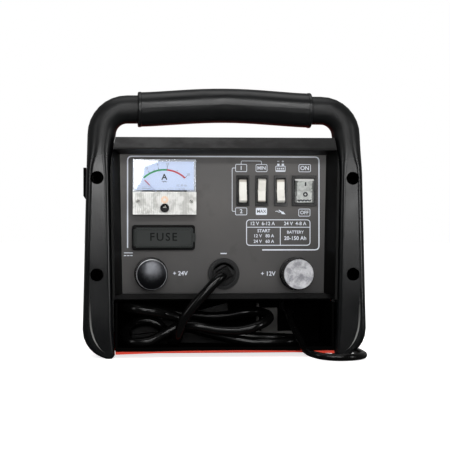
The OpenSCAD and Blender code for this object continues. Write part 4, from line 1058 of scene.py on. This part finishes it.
LEAD_EXIT = (0.0, -0.098, 0.0835)
LEAD_ROUTE = [
    LEAD_EXIT, (-0.002, -0.108, 0.083), (-0.009, -0.1153, 0.0785), (-0.026, -0.117, 0.0605),
    (-0.042, -0.113, 0.04), (-0.0475, -0.101, 0.021), (-0.0505, -0.084, 0.0142), (-0.0545, -0.068, 0.0185),
    (-0.064, -0.0585, 0.029), (-0.079, -0.0575, 0.0335), (-0.094, -0.0645, 0.0295), (-0.101, -0.079, 0.022),
    (-0.094, -0.093, 0.0155), (-0.077, -0.098, 0.016), (-0.059, -0.0915, 0.024), (-0.044, -0.0915, 0.0305),
    (-0.028, -0.096, 0.031), (-0.007, -0.097, 0.027), (0.015, -0.097, 0.0265), (0.034, -0.0945, 0.031),
    (0.0475, -0.0805, 0.0375), (0.043, -0.064, 0.042), (0.027, -0.0565, 0.042), (-0.006, -0.057, 0.0375),
    (-0.044, -0.057, 0.0415), (-0.079, -0.0575, 0.048), (-0.095, -0.065, 0.0495), (-0.1005, -0.081, 0.0495),
    (-0.087, -0.0955, 0.048), (-0.066, -0.0945, 0.0445), (-0.046, -0.0828, 0.038), (-0.03, -0.0805, 0.027),
    (0.022, -0.092, 0.015), (0.05, -0.0925, 0.0141), (0.072, -0.0835, 0.014), (0.079, -0.065, 0.014),
    (0.071, -0.0475, 0.014), (0.052, -0.0417, 0.0143), (0.0214, -0.0415, 0.01533),
    (0.01147, -0.0415, 0.01418),
]
lead = cord_curve("negative_lead_cord", LEAD_ROUTE, 0.010, lead_jacket, ["negative_lead"])
clamp_lower = softened("clamp_lower_jaw", 0.7, clamp_plastic)
clamp_upper = softened("clamp_upper_jaw", 0.7, clamp_plastic)
dress(zinc, "clamp_pin", "clamp_spring")


# ---- mains lead, coil and plug ----
MAINS_EXIT = (0.073, -0.042, 0.048)
SIDE_X = 0.137
TOE_R = 0.03025
TOE_Z = (0.0113, 0.0076, 0.0052, 0.0042, 0.004, 0.004, 0.004)
TOE_TURN = [
    (x, y, z) for (x, y), z in zip(arc(SIDE_X - TOE_R, -0.118, TOE_R, 180, 342, len(TOE_Z) - 1), TOE_Z)
]
MAINS_RUN = [
    MAINS_EXIT, (0.073, -0.050, 0.0475), (0.0705, -0.064, 0.0405), (0.0715, -0.080, 0.0305),
    (0.0745, -0.097, 0.021), (0.0762, -0.109, 0.0153), *TOE_TURN,
    (SIDE_X, -0.112, 0.004), (SIDE_X, -0.090, 0.004), (SIDE_X, -0.050, 0.004), (SIDE_X, 0.000, 0.004),
    (SIDE_X, 0.050, 0.004), (SIDE_X, 0.100, 0.0038), (SIDE_X, 0.140, 0.0037), (SIDE_X, 0.165, 0.0036),
]
LAYER = 0.0075
INNER_R = 0.031
HALF_TURNS = 2.25
OUTER_R = INNER_R + LAYER * HALF_TURNS
COIL_MIDDLE = Vector((SIDE_X - OUTER_R, 0.172, 0.0036))
COIL_STEPS = 24
TAIL_R = 0.028
TAIL_RISE = 0.007
TAIL_MIDDLE = COIL_MIDDLE + Vector((-OUTER_R - TAIL_R, -0.004, LAYER))
PLUG_ENTRY = (0.00225, 0.140, 0.0181)


def coil_point(u):
    """A point u turns into the coil: a spiral in, a climb over half a turn and a spiral out."""
    r = INNER_R + LAYER * abs(u - HALF_TURNS)
    climb = 2 * min(max(u - 2, 0), 0.5)
    a = math.tau * u
    return COIL_MIDDLE + Vector((r * math.cos(a), r * math.sin(a), climb * LAYER))


def tail_point(degrees):
    """A point on the quarter turn that climbs from the coil's top to the plug."""
    a = math.radians(degrees)
    rise = TAIL_RISE * (1 - math.cos(2 * a)) / 2
    return TAIL_MIDDLE + Vector((TAIL_R * math.cos(a), -TAIL_R * math.sin(a), rise))


COIL = [coil_point(k / COIL_STEPS) for k in range(int(2 * HALF_TURNS * COIL_STEPS) + 1)]
TAIL = [tail_point(degrees) for degrees in range(15, 91, 15)]
mains = cord_curve("mains_cord", MAINS_RUN + COIL + TAIL + [PLUG_ENTRY], 0.007, lead_jacket,
                   ["mains_lead", "mains_coil"])


def mains_sleeve():
    """The tapered sleeve that guards the lead at its gland."""
    points = [(0.073, -0.041, 0.048)] + MAINS_RUN[1:3]
    return cord_curve("mains_sleeve", points, 0.012, black_gloss, radii=[1.0, 0.92, 0.66])


def coil_tie():
    """A rubber strap round the coil's turns where they come nearest to the charger."""
    width, thickness = 10, 0.9
    strap = Shape()
    loop = [strap.bm.verts.new((0, y, z)) for y, z in rounded_outline(20.0, 14.4, 5.0, 5)]
    for pair in zip(loop, loop[1:] + loop[:1]):
        strap.bm.edges.new(pair)
    wide = bmesh.ops.extrude_edge_only(strap.bm, edges=strap.bm.edges[:])["geom"]
    edge = [v for v in wide if isinstance(v, bmesh.types.BMVert)]
    bmesh.ops.translate(strap.bm, verts=edge, vec=(width, 0, 0))
    bmesh.ops.recalc_face_normals(strap.bm, faces=strap.bm.faces[:])
    bmesh.ops.solidify(strap.bm, geom=strap.bm.faces[:], thickness=thickness)
    return add("coil_tie", strap, foot_rubber, place=Matrix.Translation((84.1, 133.5, 7.6)))


def plug_body():
    """A round plug, narrow where the lead enters it."""
    body = [(0.0, 36.0), (15.0, 36.0), (16.6, 35.4), (17.6, 34.2), (18.0, 32.5), (18.0, 30.0), (17.5, 28.6),
            (17.5, 19.5), (16.8, 17.4), (15.0, 15.6), (11.0, 13.4), (9.0, 12.0), (7.6, 10.4), (6.7, 8.4),
            (6.3, 6.0), (6.0, 3.0), (5.5, 0.0), (0.0, 0.0)]
    return add("plug_body", Shape().turned(body, turn=turn_about("Y", -90)), black_gloss,
               nodes=("mains_plug",), place=Matrix.Translation(Vector(PLUG_ENTRY) / MM))


def mains_details():
    """The gland, and the pieces that go with the lead."""
    softened("mains_gland", 0.6, gland_plastic)
    return mains_sleeve(), coil_tie(), plug_body(), softened("plug_pins", 0.3, brass)


mains_details()

# ---- inside the case ----
dress(core_steel, "transformer_core")
dress(copper, "transformer_windings", "busbars")
dress(zinc, "transformer_bracket", "transformer_bolts", "rectifier_diodes")
dress(aluminium, "rectifier_heatsink")
dress(black_gloss, "thermal_cutout")
dress(wire_blue, "supply_wires")

# ---- floor, background and lights ----
WHITE = (1, 1, 1, 1)
FILL = 0.45


def make_floor():
    """White to the camera; reflections see it dark below the charger and paler behind."""
    bm = bmesh.new()
    bmesh.ops.create_grid(bm, x_segments=2, y_segments=2, size=4, matrix=Matrix.Translation((0, 3.3, 0)))
    mesh = bpy.data.meshes.new("floor")
    bm.to_mesh(mesh)
    bm.free()
    floor = bpy.data.objects.new("floor", mesh)
    bpy.context.collection.objects.link(floor)
    finish = Finish("pale_floor", "#f2f2f2", Roughness=0.6, Specular_IOR_Level=0.1)
    surface = Value(finish, finish.shader.outputs[0])
    glow = finish.node("ShaderNodeEmission", values={"Color": WHITE, "Strength": 0.75})
    lit = finish.node("ShaderNodeAddShader", values={0: surface, 1: glow})
    behind = finish.blend(finish.axis("Y").step(100, 600), (0.06, 0.06, 0.06, 1), (0.6, 0.6, 0.6, 1))
    dim = finish.node("ShaderNodeEmission", values={"Color": behind, "Strength": 1.0})
    straight = finish.either(finish.ray("Camera"), surface, lit)
    shown = finish.either(finish.ray("Glossy"), straight, dim)
    finish.feed(finish.tree.nodes["Material Output"].inputs["Surface"], shown)
    mesh.materials.append(finish.material)


def make_world():
    """White for what looks straight at it; reflections see it darker on the front side."""
    world = bpy.data.worlds.new("studio")
    bpy.context.scene.world = world
    world.use_nodes = True
    sky = Nodes(world.node_tree, "Generated")
    sky.tree.nodes.remove(sky.tree.nodes["Background"])
    seen, mirrored = sky.ray("Camera"), sky.ray("Glossy")
    rear = sky.axis("Y").step(-0.45, 0.5) * 0.16 + 0.04
    fill = sky.node("ShaderNodeBackground", values={"Color": WHITE, "Strength": FILL})
    white = sky.node("ShaderNodeBackground", values={"Color": WHITE, "Strength": seen.larger(rear)})
    shown = sky.either(seen.larger(mirrored), fill, white)
    sky.feed(sky.tree.nodes["World Output"].inputs["Surface"], shown)


def softbox(name, at, towards, width, height, radiance):
    """A rectangular lamp of an even brightness, in metres; a height of 0 makes it a disc."""
    data = bpy.data.lights.new(name, "AREA")
    data.shape, data.size, data.size_y = "RECTANGLE" if height else "DISK", width, height or width
    data.energy = radiance * math.pi * width * (height or width * math.pi / 4)
    lamp = bpy.data.objects.new(name, data)
    lamp.location = at
    lamp.rotation_euler = (Vector(towards) - Vector(at)).to_track_quat("-Z", "Y").to_euler()
    bpy.context.collection.objects.link(lamp)


make_floor()
make_world()
softbox("top_softbox", (0.0, -0.05, 1.7), (0, 0, 0.15), 1.4, 0.9, 1.6)
softbox("front_strip", (0.0, -1.34, 0.93), (0, -0.1, 0.2), 1.3, 0.16, 15.0)
softbox("left_disc", (-0.181, -1.41, 0.262), (-0.181, 0, 0.262), 0.27, 0, 6.7)
softbox("upper_disc", (-0.10, -1.42, 0.406), (-0.10, 0, 0.406), 0.30, 0, 6.0)
softbox("right_card", (0.376, -1.40, 0.30), (0.376, 0, 0.30), 0.24, 0.36, 6.4)
softbox("left_softbox", (-1.3, -0.9, 0.6), (0, -0.05, 0.12), 0.25, 0.8, 4.0)
softbox("right_softbox", (1.3, -0.9, 0.28), (0, -0.05, 0.12), 0.25, 0.55, 8.0)
